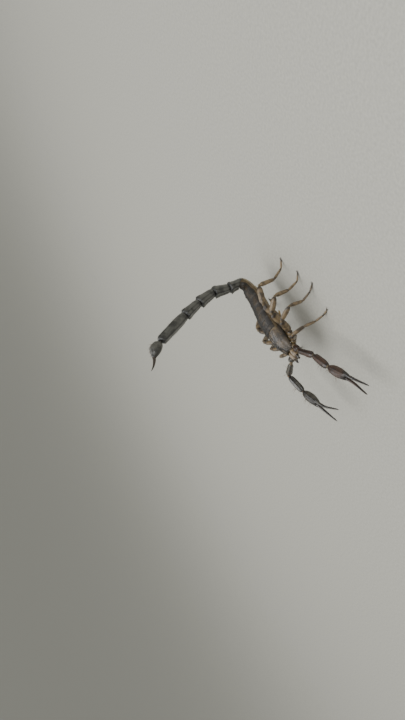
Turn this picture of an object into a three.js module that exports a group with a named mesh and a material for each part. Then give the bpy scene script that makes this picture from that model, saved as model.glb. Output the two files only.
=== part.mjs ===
// A bark scorpion at life size, standing alert: tail arched over the back,
// pincers reaching forward, right legs drawn in against the body.
// Millimetres. Front is -Y, the animal's left is +X, up is +Z. While it is built,
// heights are from a level inside the space under the trunk, above the floor.
import * as THREE from 'three';

// ---- driving dimensions ----------------------------------------------------

const GAP = 0.3;                 // free space between neighbouring plates
const HALF_GAP = GAP / 2;

// Trunk, front to rear: height of the axis, half width, rise of the back and
// drop of the belly from the axis.
const TRUNK = [
  { y: -4.5, axis: 8.0, width: 2.6, back: 1.3, belly: 1.2 },
  { y: -1.0, axis: 8.4, width: 3.5, back: 2.3, belly: 1.6 },
  { y: 4.5, axis: 8.7, width: 4.2, back: 2.5, belly: 2.3 },
  { y: 10.0, axis: 8.4, width: 4.5, back: 2.7, belly: 2.7 },
  { y: 15.5, axis: 7.4, width: 4.4, back: 2.6, belly: 2.6 },
  { y: 21.5, axis: 6.9, width: 3.6, back: 2.3, belly: 2.3 },
  { y: 27.5, axis: 8.2, width: 2.0, back: 1.7, belly: 1.7 },
];
const CARAPACE_FRONT = -4.5;
const CARAPACE_REAR = 4.5;
const CARAPACE_RIM = 7.55;       // height of the carapace's lower edge
const RIM_THICKNESS = 0.25;
const MESOSOMA_LENGTHS = [1.6, 2.6, 3.0, 3.3, 3.6, 3.9, 5.0];
const COXA_TOP = 7.2;            // top of the leg bases under the carapace

// Tail: pitch is turned up from straight back, in a plane leaning to the right.
const TAIL_LEAN = -4;
const TAIL = [
  { length: 4.8, pitch: 93, width: 1.95, height: 1.85 },
  { length: 5.9, pitch: 82, width: 1.9, height: 1.95 },
  { length: 6.8, pitch: 105, width: 1.9, height: 2.0 },
  { length: 7.2, pitch: 111, width: 1.8, height: 1.9 },
  { length: 13.2, pitch: 115, width: 1.7, height: 1.88 },
];
const TAIL_ROOT = { width: 1.7, height: 2.0 };
const VESICLE = { length: 6.6, pitch: 135, width: 1.75, height: 1.9 };
const ACULEUS = { length: 4.8, pitch: 160, root: 0.6, tip: 0.27, curl: 36 };

// Pincers: each pair of angles is the yaw, turned outward from straight ahead,
// and the rise.
const PEDIPALP_BASE = { x: 3.1, y: -4.4, z: 7.3 };
const PEDIPALP = { trochanter: 2.5, femur: 7.8, patella: 7.9, manus: 6.5, finger: 9.8 };
const PEDIPALP_POSE = {
  left: {
    trochanter: [19, 4], femur: [40, -6], patella: [29, 2],
    manus: [20, -14], fixedFinger: [30, 6], movableFinger: [42, 0],
  },
  right: {
    trochanter: [33, 31], femur: [88, 0], patella: [-6, -5],
    manus: [-14, -8], fixedFinger: [-48, -10], movableFinger: [-25, -2],
  },
};
const FINGER_ROOT = 0.52;        // half thickness of a finger at its root
const FINGER_TIP = 0.27;

// Median eyes: radius, how far each stands from the middle, place along the
// body and how steeply it looks up.
const EYE = { radius: 0.42, x: 0.55, y: -0.9, tilt: 60 };

// Combs behind the leg bases.
const PECTEN = { x: 0.75, y: 5.7, z: 5.15, length: 5.2, sweep: 32, teeth: 9 };

// Legs: where each leaves the trunk, and its segments from the trunk outward:
// trochanter, femur, patella, tibia, basitarsus, tarsus.
const LEGS = [
  { x: 3.3, y: -2.5, z: 6.5, girth: 0.92, lengths: [1.7, 5.2, 4.8, 4.2, 3.2, 2.4] },
  { x: 3.6, y: -0.5, z: 6.5, girth: 0.96, lengths: [1.9, 6.2, 5.6, 4.9, 3.7, 2.6] },
  { x: 3.8, y: 1.6, z: 6.4, girth: 1.0, lengths: [1.9, 6.4, 5.8, 5.2, 4.0, 2.7] },
  { x: 3.8, y: 3.9, z: 6.3, girth: 1.04, lengths: [2.1, 7.2, 6.6, 5.8, 4.4, 2.9] },
];
// Yaw is turned rearward from straight out to the side, rise is upward. The
// tarsus follows the basitarsus and takes the rise that puts its tip down.
const LEG_POSE = {
  left: [
    { yaw: [-10, -10, -8, -4, 0], rise: [0, 26, -56, -94, -61] },
    { yaw: [16, 20, 22, 22, 20], rise: [0, 28, -40, -96, -52] },
    { yaw: [36, 42, 44, 42, 40], rise: [5, 32, -30, -92, -68] },
    { yaw: [58, 64, 66, 64, 60], rise: [5, 26, -14, -92, -59] },
  ],
  right: [
    { yaw: [10, 26, 24, 20, 16], rise: [5, 16, -44, -80, -64] },
    { yaw: [24, 40, 38, 34, 30], rise: [5, 22, -34, -84, -61] },
    { yaw: [40, 52, 50, 46, 42], rise: [5, 36, -38, -86, -71] },
    { yaw: [62, 68, 70, 68, 64], rise: [0, 32, -36, -70, -42] },
  ],
};
const FLOOR = -3.0;              // level of the ground, seen from the level of heights
const FOOT_HEIGHT = 0.22;        // height of the tarsus axis at its tip, from the floor

const COLOURS = {
  carapace: 0x6b4a2c, tergite: 0x7a5a34, coxa: 0x8a6a42, tail: 0x3b3a30,
  sting: 0x231d18, leg: 0x7c5c38, pincer: 0x5a3324, finger: 0x2e2019,
  jaw: 0x80623c, eye: 0x0b0a09, comb: 0xa58a5e,
};

// ---- shape tools -----------------------------------------------------------

const RAD = Math.PI / 180;
const SIDES = [['left', 1], ['right', -1]];

const scorpion = new THREE.Group();

function addMesh(name, rings, colour, roughness = 0.4) {
  const material = new THREE.MeshStandardMaterial({ color: colour, roughness, metalness: 0 });
  const mesh = new THREE.Mesh(loft(rings), material);
  mesh.name = name;
  scorpion.add(mesh);
}

// A closed skin over rings of equal count, each end closed on its own middle.
// Every ring turns right-handed about the direction in which the rings follow.
function loft(rings) {
  const count = rings[0].length;
  const points = rings.flat();
  const index = [];
  for (let r = 0; r + 1 < rings.length; r += 1) {
    for (let i = 0; i < count; i += 1) {
      const a = r * count + i;
      const b = r * count + (i + 1) % count;
      index.push(a, b, a + count, b, b + count, a + count);
    }
  }
  const last = (rings.length - 1) * count;
  const firstPole = points.length;
  points.push(middle(rings[0]), middle(rings[rings.length - 1]));
  for (let i = 0; i < count; i += 1) {
    const j = (i + 1) % count;
    index.push(firstPole, j, i);
    index.push(firstPole + 1, last + i, last + j);
  }
  const geometry = new THREE.BufferGeometry().setFromPoints(points);
  geometry.setIndex(index);
  geometry.computeVertexNormals();
  return geometry;
}

function middle(ring) {
  const sum = new THREE.Vector3();
  ring.forEach((point) => sum.add(point));
  return sum.divideScalar(ring.length);
}

function roundedPower(value, power) {
  return Math.sign(value) * Math.abs(value) ** power;
}

// A ring across a bone: `width` and `height` are half sizes along the frame's
// side and up directions.
function ring(centre, frame, width, height, count = 10) {
  const points = [];
  for (let i = 0; i < count; i += 1) {
    const angle = 2 * Math.PI * i / count;
    points.push(centre.clone()
      .addScaledVector(frame.side, Math.cos(angle) * width)
      .addScaledVector(frame.up, Math.sin(angle) * height));
  }
  return points;
}

// A level cross-section of the trunk at y, widest at `level`.
function section(y, width, low, level, high, count, square) {
  const points = [];
  for (let i = 0; i < count; i += 1) {
    const angle = 2 * Math.PI * i / count;
    const across = roundedPower(Math.cos(angle), square);
    const rise = -Math.sin(angle);
    const z = level + rise * (rise > 0 ? high - level : level - low);
    points.push(new THREE.Vector3(width * across, y, z));
  }
  return points;
}

function frameFrom(along, up) {
  return { along, up, side: new THREE.Vector3().crossVectors(up, along) };
}

// Directions of a bone that heads along the level direction `flat` and rises.
function boneFrame(flat, rise) {
  const along = flat.clone().multiplyScalar(Math.cos(rise * RAD));
  along.z = Math.sin(rise * RAD);
  const up = flat.clone().multiplyScalar(-Math.sin(rise * RAD));
  up.z = Math.cos(rise * RAD);
  return frameFrom(along, up);
}

function meanFrame(a, b) {
  const along = a.along.clone().add(b.along).normalize();
  const up = a.up.clone().add(b.up);
  up.addScaledVector(along, -up.dot(along)).normalize();
  return frameFrom(along, up);
}

// How far a blunt end of half thickness `radius` stays back from a bent joint.
function setBack(a, b, radius) {
  return HALF_GAP + radius * Math.tan(a.along.angleTo(b.along) / 2);
}

function moved(point, direction, distance) {
  return point.clone().addScaledVector(direction, distance);
}

// Cardinal spline through the trunk's stations, read at y.
function trunkValue(key, y) {
  const last = TRUNK.length - 1;
  let i = 0;
  while (i < last - 1 && y > TRUNK[i + 1].y) i += 1;
  const a = TRUNK[Math.max(i - 1, 0)];
  const b = TRUNK[i];
  const c = TRUNK[i + 1];
  const d = TRUNK[Math.min(i + 2, last)];
  const span = c.y - b.y;
  const t = Math.min(Math.max((y - b.y) / span, 0), 1);
  const leave = (c[key] - a[key]) / (c.y - a.y) * span;
  const arrive = (d[key] - b[key]) / (d.y - b.y) * span;
  return b[key] * (2 * t ** 3 - 3 * t ** 2 + 1) + leave * (t ** 3 - 2 * t ** 2 + t)
    + c[key] * (3 * t ** 2 - 2 * t ** 3) + arrive * (t ** 3 - t ** 2);
}

// ---- trunk -----------------------------------------------------------------

// A shell-shaped dome with a level lower edge.
function buildCarapace() {
  const rear = CARAPACE_REAR - HALF_GAP;
  const rings = [0, 0.04, 0.14, 0.26, 0.38, 0.5, 0.65, 0.8, 0.94, 1].map((t) => {
    const y = CARAPACE_FRONT + t * (rear - CARAPACE_FRONT);
    const rounding = t === 0 || t === 1 ? 0.88 : 1;
    const level = CARAPACE_RIM + RIM_THICKNESS;
    const top = trunkValue('axis', y) + trunkValue('back', y);
    const high = level + (top - level) * rounding;
    return section(y, trunkValue('width', y) * rounding, CARAPACE_RIM, level, high, 20, 0.8);
  });
  addMesh('carapace', rings, COLOURS.carapace, 0.45);
}

// Leg bases and breastbone: one plate under the carapace.
function buildCoxosternum() {
  const stations = [
    { y: -4.2, width: 1.5, low: 6.0 }, { y: -3.2, width: 2.6, low: 5.4 },
    { y: -1.0, width: 3.0, low: 5.2 }, { y: 1.5, width: 3.2, low: 5.1 },
    { y: 3.9, width: 3.2, low: 5.1 }, { y: 4.9, width: 2.2, low: 5.4 },
  ];
  const rings = stations.map(({ y, width, low }) => (
    section(y, width, low, (low + COXA_TOP) / 2, COXA_TOP, 16, 0.6)
  ));
  addMesh('coxosternum', rings, COLOURS.coxa, 0.5);
}

// Seven rings of back and belly plate, each with a low swell near its rear.
function buildMesosoma() {
  const swell = [[0, 0.92], [0.15, 0.97], [0.5, 0.99], [0.85, 1], [1, 0.93]];
  const taper = [[0, 0.92], [0.15, 0.97], [0.35, 0.99], [0.6, 0.98]];
  let front = CARAPACE_REAR;
  MESOSOMA_LENGTHS.forEach((length, i) => {
    const start = front + HALF_GAP;
    const end = front + length - HALF_GAP;
    const isLast = i === MESOSOMA_LENGTHS.length - 1;
    const rings = (isLast ? taper : swell).map(([t, scale]) => {
      const y = start + t * (end - start);
      const axis = trunkValue('axis', y);
      const overCoxae = i === 0 ? COXA_TOP + GAP : 0;
      const low = Math.max(axis - trunkValue('belly', y) * scale, overCoxae);
      const high = axis + trunkValue('back', y) * scale;
      return section(y, trunkValue('width', y) * scale, low, axis, high, 18, 0.85);
    });
    if (isLast) rings.push(tailRoot(-HALF_GAP));
    addMesh(`mesosoma_${i + 1}`, rings, COLOURS.tergite, 0.45);
    front += length;
  });
}

// A pair of combs behind the leg bases, swept outward and back.
function buildPectines() {
  const sweep = PECTEN.sweep * RAD;
  const steps = 2 * PECTEN.teeth;
  SIDES.forEach(([name, side]) => {
    const flat = new THREE.Vector3(side * Math.cos(sweep), Math.sin(sweep), 0);
    const rearward = new THREE.Vector3(-side * flat.y, side * flat.x, 0);
    const frame = boneFrame(flat, 0);
    const start = new THREE.Vector3(side * PECTEN.x, PECTEN.y, PECTEN.z);
    const rings = [];
    for (let k = 0; k <= steps; k += 1) {
      const t = k / steps;
      const tooth = k % 2 === 1 ? 0.25 : 0;
      const centre = moved(moved(start, flat, t * PECTEN.length), rearward, tooth);
      rings.push(ring(centre, frame, 0.42 * (1 - 0.35 * t) + tooth, 0.28, 6));
    }
    addMesh(`pecten_${name}`, rings, COLOURS.comb, 0.55);
  });
}

// ---- head ------------------------------------------------------------------

// Two domes that look up and out from the middle of the carapace.
function buildEyes() {
  const height = trunkValue('axis', EYE.y) + trunkValue('back', EYE.y) + 0.2;
  SIDES.forEach(([name, side]) => {
    const frame = boneFrame(new THREE.Vector3(side, 0, 0), EYE.tilt);
    const start = new THREE.Vector3(side * EYE.x, EYE.y, height);
    const rings = [0, 25, 50, 72].map((angle) => {
      const radius = EYE.radius * Math.cos(angle * RAD);
      const rise = EYE.radius * Math.sin(angle * RAD);
      return ring(moved(start, frame.along, rise), frame, radius, radius);
    });
    addMesh(`median_eye_${name}`, rings, COLOURS.eye, 0.1);
  });
}

// Jaws: a stout hand that ends in a fixed finger, and a movable finger outside.
function buildChelicerae() {
  const frame = boneFrame(new THREE.Vector3(0, -1, 0), 0);
  const hand = [
    { out: 0, inward: 0, width: 0.7, height: 0.8 },
    { out: 0.35, inward: 0, width: 0.88, height: 0.98 },
    { out: 1.9, inward: 0, width: 0.85, height: 0.95 },
    { out: 2.3, inward: 0.3, width: 0.45, height: 0.5 },
    { out: 3.2, inward: 0.38, width: 0.28, height: 0.28 },
  ];
  const finger = [
    { out: 2.4, inward: -0.5, width: 0.3, height: 0.4 },
    { out: 2.9, inward: -0.52, width: 0.3, height: 0.36 },
    { out: 3.7, inward: -0.3, width: 0.26, height: 0.26 },
  ];
  SIDES.forEach(([name, side]) => {
    const place = ({ out, inward, width, height }) => {
      const centre = new THREE.Vector3(side * (1.15 - inward), CARAPACE_FRONT - GAP - out, 7.7);
      return ring(centre, frame, width, height);
    };
    addMesh(`chelicera_${name}`, hand.map(place), COLOURS.jaw, 0.4);
    addMesh(`chelicera_finger_${name}`, finger.map(place), COLOURS.finger, 0.4);
  });
}

// ---- tail ------------------------------------------------------------------

function tailFrame(pitch) {
  const rise = new THREE.Vector3(-Math.sin(TAIL_LEAN * RAD), 0, Math.cos(TAIL_LEAN * RAD));
  const back = new THREE.Vector3(0, 1, 0);
  const along = back.clone().multiplyScalar(Math.cos(pitch * RAD))
    .addScaledVector(rise, Math.sin(pitch * RAD));
  const up = rise.clone().multiplyScalar(Math.cos(pitch * RAD))
    .addScaledVector(back, -Math.sin(pitch * RAD));
  return frameFrom(along, up);
}

const TAIL_BASE = new THREE.Vector3(0, TRUNK[TRUNK.length - 1].y, TRUNK[TRUNK.length - 1].axis);

// The mitred ring between the trunk and the first tail segment.
function tailRoot(offset, count = 18) {
  const frame = meanFrame(boneFrame(new THREE.Vector3(0, 1, 0), 0), tailFrame(TAIL[0].pitch));
  return ring(moved(TAIL_BASE, frame.along, offset), frame, TAIL_ROOT.width, TAIL_ROOT.height, count);
}

function buildTail() {
  const shortShape = [[0.42, 0.92, 0.94], [0.62, 0.93, 0.96], [0.88, 1.03, 1.08]];
  const shape = [[0.12, 0.88, 0.87], [0.5, 0.89, 0.92], [0.86, 1.03, 1.09]];
  const longShape = [[0.08, 0.94, 0.94], [0.35, 1, 1], [0.7, 0.92, 0.94], [0.93, 0.84, 0.88]];
  const frames = [...TAIL, VESICLE].map(({ pitch }) => tailFrame(pitch));
  let joint = TAIL_BASE;
  let before = tailFrame(0);
  TAIL.forEach(({ length, width, height }, i) => {
    const frame = frames[i];
    const end = moved(joint, frame.along, length);
    const enter = meanFrame(before, frame);
    const leave = meanFrame(frame, frames[i + 1]);
    const first = i === 0
      ? tailRoot(HALF_GAP, 14)
      : ring(moved(joint, enter.along, HALF_GAP), enter, width * 0.78, height * 0.8, 14);
    const last = i === TAIL.length - 1;
    const outline = i === 0 ? shortShape : shape;
    const body = (last ? longShape : outline).map(([t, w, h]) => (
      ring(moved(joint, frame.along, t * length), frame, width * w, height * h, 14)
    ));
    const rear = ring(moved(end, leave.along, -HALF_GAP), leave, width * 0.8, height * 0.82, 14);
    addMesh(`metasoma_${i + 1}`, [first, ...body, rear], COLOURS.tail, 0.42);
    joint = end;
    before = frame;
  });
  buildSting(joint, before);
}

// The vesicle hangs fuller on its outer side. The aculeus bends outward.
function buildSting(joint, before) {
  const frame = tailFrame(VESICLE.pitch);
  const profile = [[0.14, 0.72, 0.7], [0.34, 1, 0.98], [0.56, 1, 1], [0.78, 0.78, 0.78], [1, 0.4, 0.38]];
  const enter = meanFrame(before, frame);
  const first = ring(moved(joint, enter.along, HALF_GAP), enter, 0.85, 0.95, 14);
  const body = profile.map(([t, w, h]) => {
    const fullness = -0.5 * Math.sin(Math.PI * t);
    const centre = moved(moved(joint, frame.along, t * VESICLE.length), frame.up, fullness);
    return ring(centre, frame, VESICLE.width * w, VESICLE.height * h, 14);
  });
  addMesh('vesicle', [first, ...body], COLOURS.tail, 0.35);

  const steps = 7;
  let point = moved(joint, frame.along, VESICLE.length + GAP);
  const rings = [];
  for (let k = 0; k <= steps; k += 1) {
    const t = k / steps;
    const bend = tailFrame(ACULEUS.pitch - ACULEUS.curl * t);
    const radius = ACULEUS.root + (ACULEUS.tip - ACULEUS.root) * t;
    rings.push(ring(point, bend, radius, radius));
    point = moved(point, bend.along, ACULEUS.length / steps);
  }
  addMesh('aculeus', rings, COLOURS.sting, 0.2);
}

// ---- pincers ---------------------------------------------------------------

function buildPedipalp(name, side) {
  const pose = PEDIPALP_POSE[name];
  const heading = ([yaw, rise]) => boneFrame(
    new THREE.Vector3(side * Math.sin(yaw * RAD), -Math.cos(yaw * RAD), 0),
    rise,
  );
  const trochanter = heading(pose.trochanter);
  const femur = heading(pose.femur);
  const patella = heading(pose.patella);
  const manus = heading(pose.manus);
  const root = new THREE.Vector3(side * PEDIPALP_BASE.x, PEDIPALP_BASE.y, PEDIPALP_BASE.z);
  const shoulder = moved(root, trochanter.along, PEDIPALP.trochanter);
  const elbow = moved(shoulder, femur.along, PEDIPALP.femur);
  const wrist = moved(elbow, patella.along, PEDIPALP.patella);
  const knuckle = moved(wrist, manus.along, PEDIPALP.manus);

  const segment = (label, start, frame, length, from, to, shape) => {
    const rings = shape.map(([t, w, h]) => {
      const place = from + t * (length - from - to);
      return ring(moved(start, frame.along, place), frame, w, h, 12);
    });
    addMesh(`pedipalp_${label}_${name}`, rings, COLOURS.pincer, 0.4);
  };
  segment(
    'trochanter', root, trochanter, PEDIPALP.trochanter, 0.35, setBack(trochanter, femur, 0.7),
    [[0, 0.78, 0.78], [0.4, 0.95, 0.95], [0.8, 0.92, 0.92], [1, 0.7, 0.7]],
  );
  segment(
    'femur', shoulder, femur, PEDIPALP.femur, setBack(trochanter, femur, 0.6), setBack(femur, patella, 0.6),
    [[0, 0.6, 0.6], [0.12, 0.82, 0.8], [0.5, 0.92, 0.9], [0.85, 1, 0.95], [1, 0.6, 0.6]],
  );
  segment(
    'patella', elbow, patella, PEDIPALP.patella, setBack(femur, patella, 0.6), setBack(patella, manus, 0.6),
    [[0, 0.6, 0.6], [0.15, 1, 0.98], [0.5, 1.15, 1.1], [0.85, 1.05, 1.02], [1, 0.62, 0.62]],
  );

  // The hand carries the inner finger. The outer finger is hinged beside it.
  const inward = manus.side.clone().multiplyScalar(-side);
  const palm = [
    [setBack(patella, manus, 0.6), 0.6, 0.6], [1.2, 1.15, 1.2], [3.0, 1.55, 1.6], [5.0, 1.5, 1.55],
    [PEDIPALP.manus, 1.1, 1.15],
  ].map(([out, w, h]) => ring(moved(wrist, manus.along, out), manus, w, h, 12));
  const fixedRoot = moved(moved(knuckle, inward, 0.62), manus.along, 0.35);
  const fixed = fingerRings(fixedRoot, manus, heading(pose.fixedFinger), 1);
  addMesh(`pedipalp_manus_${name}`, [...palm, ...fixed], COLOURS.pincer, 0.4);
  const movableRoot = moved(moved(knuckle, inward, -0.7), manus.along, 0.55);
  const movable = fingerRings(movableRoot, manus, heading(pose.movableFinger), 0.97);
  addMesh(`pedipalp_movable_finger_${name}`, movable, COLOURS.finger, 0.35);
}

// A slender finger that turns from one heading to another as it goes out.
function fingerRings(start, from, to, reach) {
  const steps = 6;
  const rings = [];
  let point = start;
  for (let k = 0; k <= steps; k += 1) {
    const t = k / steps;
    const turn = Math.min(2 * t, 1);
    const along = from.along.clone().lerp(to.along, turn).normalize();
    const up = from.up.clone().lerp(to.up, turn);
    up.addScaledVector(along, -up.dot(along)).normalize();
    const frame = frameFrom(along, up);
    const radius = FINGER_ROOT + (FINGER_TIP - FINGER_ROOT) * t;
    rings.push(ring(point, frame, radius, radius, 12));
    point = moved(point, along, PEDIPALP.finger * reach / steps);
  }
  return rings;
}

// ---- legs ------------------------------------------------------------------

function buildLeg(name, side, number) {
  const { x, y, z, girth, lengths } = LEGS[number];
  const { yaw, rise } = LEG_POSE[name][number];
  const heading = (turn) => (
    new THREE.Vector3(side * Math.cos(turn * RAD), Math.sin(turn * RAD), 0)
  );
  const frames = yaw.map((turn, i) => boneFrame(heading(turn), rise[i]));
  const joints = [new THREE.Vector3(side * x, y, z)];
  frames.forEach((frame, i) => joints.push(moved(joints[i], frame.along, lengths[i])));
  const drop = (FLOOR + FOOT_HEIGHT - joints[5].z) / lengths[5];
  frames.push(boneFrame(heading(yaw[4]), Math.asin(drop) / RAD));
  joints.push(moved(joints[5], frames[5].along, lengths[5]));

  const at = (bone, distance, w, h) => (
    ring(moved(joints[bone], frames[bone].along, distance), frames[bone], w * girth, h * girth)
  );
  const bent = (bone, w, h) => (
    ring(joints[bone], meanFrame(frames[bone - 1], frames[bone]), w * girth, h * girth)
  );
  const kneeBack = setBack(frames[1], frames[2], 0.5);
  const shinBack = setBack(frames[2], frames[3], 0.42);
  const upper = [
    at(0, 0.35, 0.76, 0.76), at(0, lengths[0] * 0.6, 0.84, 0.86), bent(1, 0.7, 0.86),
    at(1, lengths[1] * 0.35, 0.74, 1.18), at(1, lengths[1] * 0.72, 0.74, 1.15),
    at(1, lengths[1] - kneeBack, 0.52, 0.56),
  ];
  addMesh(`leg_${number + 1}_femur_${name}`, upper, COLOURS.leg);
  const middlePart = [
    at(2, kneeBack, 0.52, 0.56), at(2, kneeBack + lengths[2] * 0.18, 0.68, 1.0),
    at(2, lengths[2] * 0.6, 0.66, 1.04), at(2, lengths[2] - shinBack, 0.45, 0.48),
  ];
  addMesh(`leg_${number + 1}_patella_${name}`, middlePart, COLOURS.leg);
  const lower = [
    at(3, shinBack, 0.43, 0.48), at(3, shinBack + lengths[3] * 0.15, 0.54, 0.72),
    at(3, lengths[3] * 0.6, 0.5, 0.64), bent(4, 0.4, 0.48), at(4, lengths[4] * 0.5, 0.36, 0.42),
    bent(5, 0.33, 0.36), at(5, lengths[5] * 0.5, 0.32, 0.33), at(5, lengths[5], 0.3, 0.3),
  ];
  lower.flat().forEach((point) => {
    point.z = Math.max(point.z, FLOOR);
  });
  addMesh(`leg_${number + 1}_foot_${name}`, lower, COLOURS.leg);
}

// ---- assembly --------------------------------------------------------------

buildCarapace();
buildEyes();
buildChelicerae();
buildCoxosternum();
buildMesosoma();
buildPectines();
buildTail();
SIDES.forEach(([name, side]) => {
  buildPedipalp(name, side);
  LEGS.forEach((leg, number) => buildLeg(name, side, number));
});

// The origin goes to the middle of the ground that the animal covers, at its floor.
const reach = new THREE.Box3().setFromObject(scorpion);
const centre = reach.getCenter(new THREE.Vector3());
scorpion.position.set(-centre.x, -centre.y, -FLOOR);

export default scorpion;
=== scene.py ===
"""A bark scorpion at life size, standing with its tail raised over its rear end.

Lengths are millimetres in the animal's own frame until a mesh is made from them:
front is -Y, the animal's left is +X and up is +Z. Heights are from a level inside
the space under the trunk, so the floor lies below 0.
"""

import math
from collections import namedtuple

import bpy
import numpy as np
from mathutils import Matrix, Vector


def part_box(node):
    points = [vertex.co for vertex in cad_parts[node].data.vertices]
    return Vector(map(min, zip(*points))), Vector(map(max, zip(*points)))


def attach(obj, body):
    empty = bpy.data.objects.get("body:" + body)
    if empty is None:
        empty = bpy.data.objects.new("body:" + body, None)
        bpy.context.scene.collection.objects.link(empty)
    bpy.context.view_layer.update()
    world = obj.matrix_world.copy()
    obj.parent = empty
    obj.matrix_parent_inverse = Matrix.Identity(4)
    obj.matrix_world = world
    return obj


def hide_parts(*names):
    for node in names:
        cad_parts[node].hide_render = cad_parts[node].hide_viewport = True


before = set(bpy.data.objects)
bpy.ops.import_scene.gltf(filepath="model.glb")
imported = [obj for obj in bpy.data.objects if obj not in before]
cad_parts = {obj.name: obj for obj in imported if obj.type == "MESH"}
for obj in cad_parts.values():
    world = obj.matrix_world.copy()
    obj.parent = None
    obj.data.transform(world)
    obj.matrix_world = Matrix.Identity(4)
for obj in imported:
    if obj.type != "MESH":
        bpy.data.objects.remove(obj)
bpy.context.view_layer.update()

# ---- the animal's measures -------------------------------------------------

# Trunk, front to rear: height of the axis, half width, rise of the back and drop
# of the belly from the axis.
TRUNK_Y = [-4.5, -1.0, 4.5, 10.0, 15.5, 21.5, 27.5]
TRUNK = {
    "axis": [8.0, 8.4, 8.7, 8.4, 7.4, 6.9, 8.2],
    "width": [2.6, 3.5, 4.2, 4.5, 4.4, 3.6, 2.0],
    "back": [1.3, 2.3, 2.5, 2.7, 2.6, 2.3, 1.7],
    "belly": [1.2, 1.6, 2.3, 2.7, 2.6, 2.3, 1.7],
}
CARAPACE_FRONT, CARAPACE_REAR = -4.5, 4.5
CARAPACE_EDGE = 7.7  # height of its side edges
RING_LENGTHS = [1.6, 2.6, 3.0, 3.3, 3.6, 3.9, 5.0]
HALF_GAP = 0.15  # half of what two neighbouring shells leave between them

# Tail: pitch is turned up from straight back, in a plane leaning to the right.
TAIL_LEAN = -4
TAIL_ROOT = (1.7, 2.0)  # half width, half height
TAIL = [  # length, pitch, half width, half height
    (4.8, 93, 1.95, 1.85),
    (5.9, 82, 1.9, 1.95),
    (6.8, 105, 1.9, 2.0),
    (7.2, 111, 1.8, 1.9),
    (13.2, 115, 1.7, 1.88),
]
VESICLE = (6.6, 135, 1.75, 1.9)
STING = {"length": 5.2, "pitch": 160, "root": 0.6, "tip": 0.05, "curl": 36}

# Pincers: yaw turned outward from straight ahead, and rise.
PEDIPALP_BASE = (3.1, -4.4, 7.3)
PEDIPALP = {"trochanter": 2.5, "femur": 7.8, "patella": 7.9, "manus": 6.5, "finger": 9.8}
PEDIPALP_POSE = {
    "left": {"trochanter": (19, 4), "femur": (40, -6), "patella": (29, 2),
             "manus": (20, -14), "fixed": (30, 6), "movable": (42, 0)},
    "right": {"trochanter": (33, 31), "femur": (88, 0), "patella": (-6, -5),
              "manus": (-14, -8), "fixed": (-48, -10), "movable": (-25, -2)},
}
FINGER_ROOT, FINGER_TIP = 0.52, 0.2  # radius

# Legs: where each leaves the trunk, girth, and the lengths of trochanter, femur,
# patella, tibia, basitarsus and tarsus.
LEGS = [
    ((3.3, -2.5, 6.5), 0.92, (1.7, 5.2, 4.8, 4.2, 3.2, 2.4)),
    ((3.6, -0.5, 6.5), 0.96, (1.9, 6.2, 5.6, 4.9, 3.7, 2.6)),
    ((3.8, 1.6, 6.4), 1.0, (1.9, 6.4, 5.8, 5.2, 4.0, 2.7)),
    ((3.8, 3.9, 6.3), 1.04, (2.1, 7.2, 6.6, 5.8, 4.4, 2.9)),
]
# Yaw turned rearward from straight out, and rise, of the first five segments.
LEG_POSE = {
    "left": [
        ((-10, -10, -8, -4, 0), (0, 26, -56, -94, -61)),
        ((16, 20, 22, 22, 20), (0, 28, -40, -96, -52)),
        ((36, 42, 44, 42, 40), (5, 32, -30, -92, -68)),
        ((58, 64, 66, 64, 60), (5, 26, -14, -92, -59)),
    ],
    "right": [
        ((10, 26, 24, 20, 16), (5, 16, -44, -80, -64)),
        ((24, 40, 38, 34, 30), (5, 22, -34, -84, -61)),
        ((40, 52, 50, 46, 42), (5, 36, -38, -86, -71)),
        ((62, 68, 70, 68, 64), (0, 32, -36, -70, -42)),
    ],
}
FLOOR = -3.0
FOOT_HEIGHT = 0.22  # from the floor to the axis of a foot at its tip
SIDES = (("left", 1), ("right", -1))

# Where the animal's own origin lies in the frame, still in millimetres.
carapace_low, carapace_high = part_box("carapace")
ORIGIN = np.array([
    (carapace_low[0] + carapace_high[0]) * 500, carapace_low[1] * 1000 - CARAPACE_FRONT, -FLOOR,
])

dice = np.random.default_rng(8)

# ---- directions and curves -------------------------------------------------

Bearing = namedtuple("Bearing", "along up side")
UP = np.array([0, 0, 1.0])


def unit(vectors):
    return vectors / np.maximum(np.linalg.norm(vectors, axis=-1, keepdims=True), 1e-9)


def step(value):
    """Smooth rise from 0 to 1 as value goes from 0 to 1."""
    value = np.clip(value, 0, 1)
    return value * value * (3 - 2 * value)


def bump(value, width):
    """A smooth hill, 1 high at 0 and about a third as high at width."""
    return np.exp(-(value / width) ** 2)


def bearing(along, up):
    """Which way a bone runs, where its top side faces, and what lies across both."""
    return Bearing(along, up, np.cross(up, along))


def facing(along, up):
    """Bearing whose top side comes as near to up as it can."""
    return bearing(along, unit(up - along * up.dot(along)))


def bone(flat, rise, top=UP):
    """Bearing of a bone that heads along flat and rises from it towards top."""
    flat, angle = np.array(flat, float), math.radians(rise)
    return bearing(
        flat * math.cos(angle) + top * math.sin(angle), top * math.cos(angle) - flat * math.sin(angle),
    )


def tail_bearing(pitch):
    lean = math.radians(TAIL_LEAN)
    return bone((0, 1, 0), pitch, np.array([-math.sin(lean), 0, math.cos(lean)]))


def between(a, b):
    """Bearing of the joint where bone a meets bone b."""
    return facing(unit(a.along + b.along), a.up + b.up)


def set_back(a, b, radius):
    """How far a blunt end stays back from a bent joint."""
    return HALF_GAP + radius * math.tan(math.acos(np.clip(a.along.dot(b.along), -1, 1)) / 2)


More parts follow.
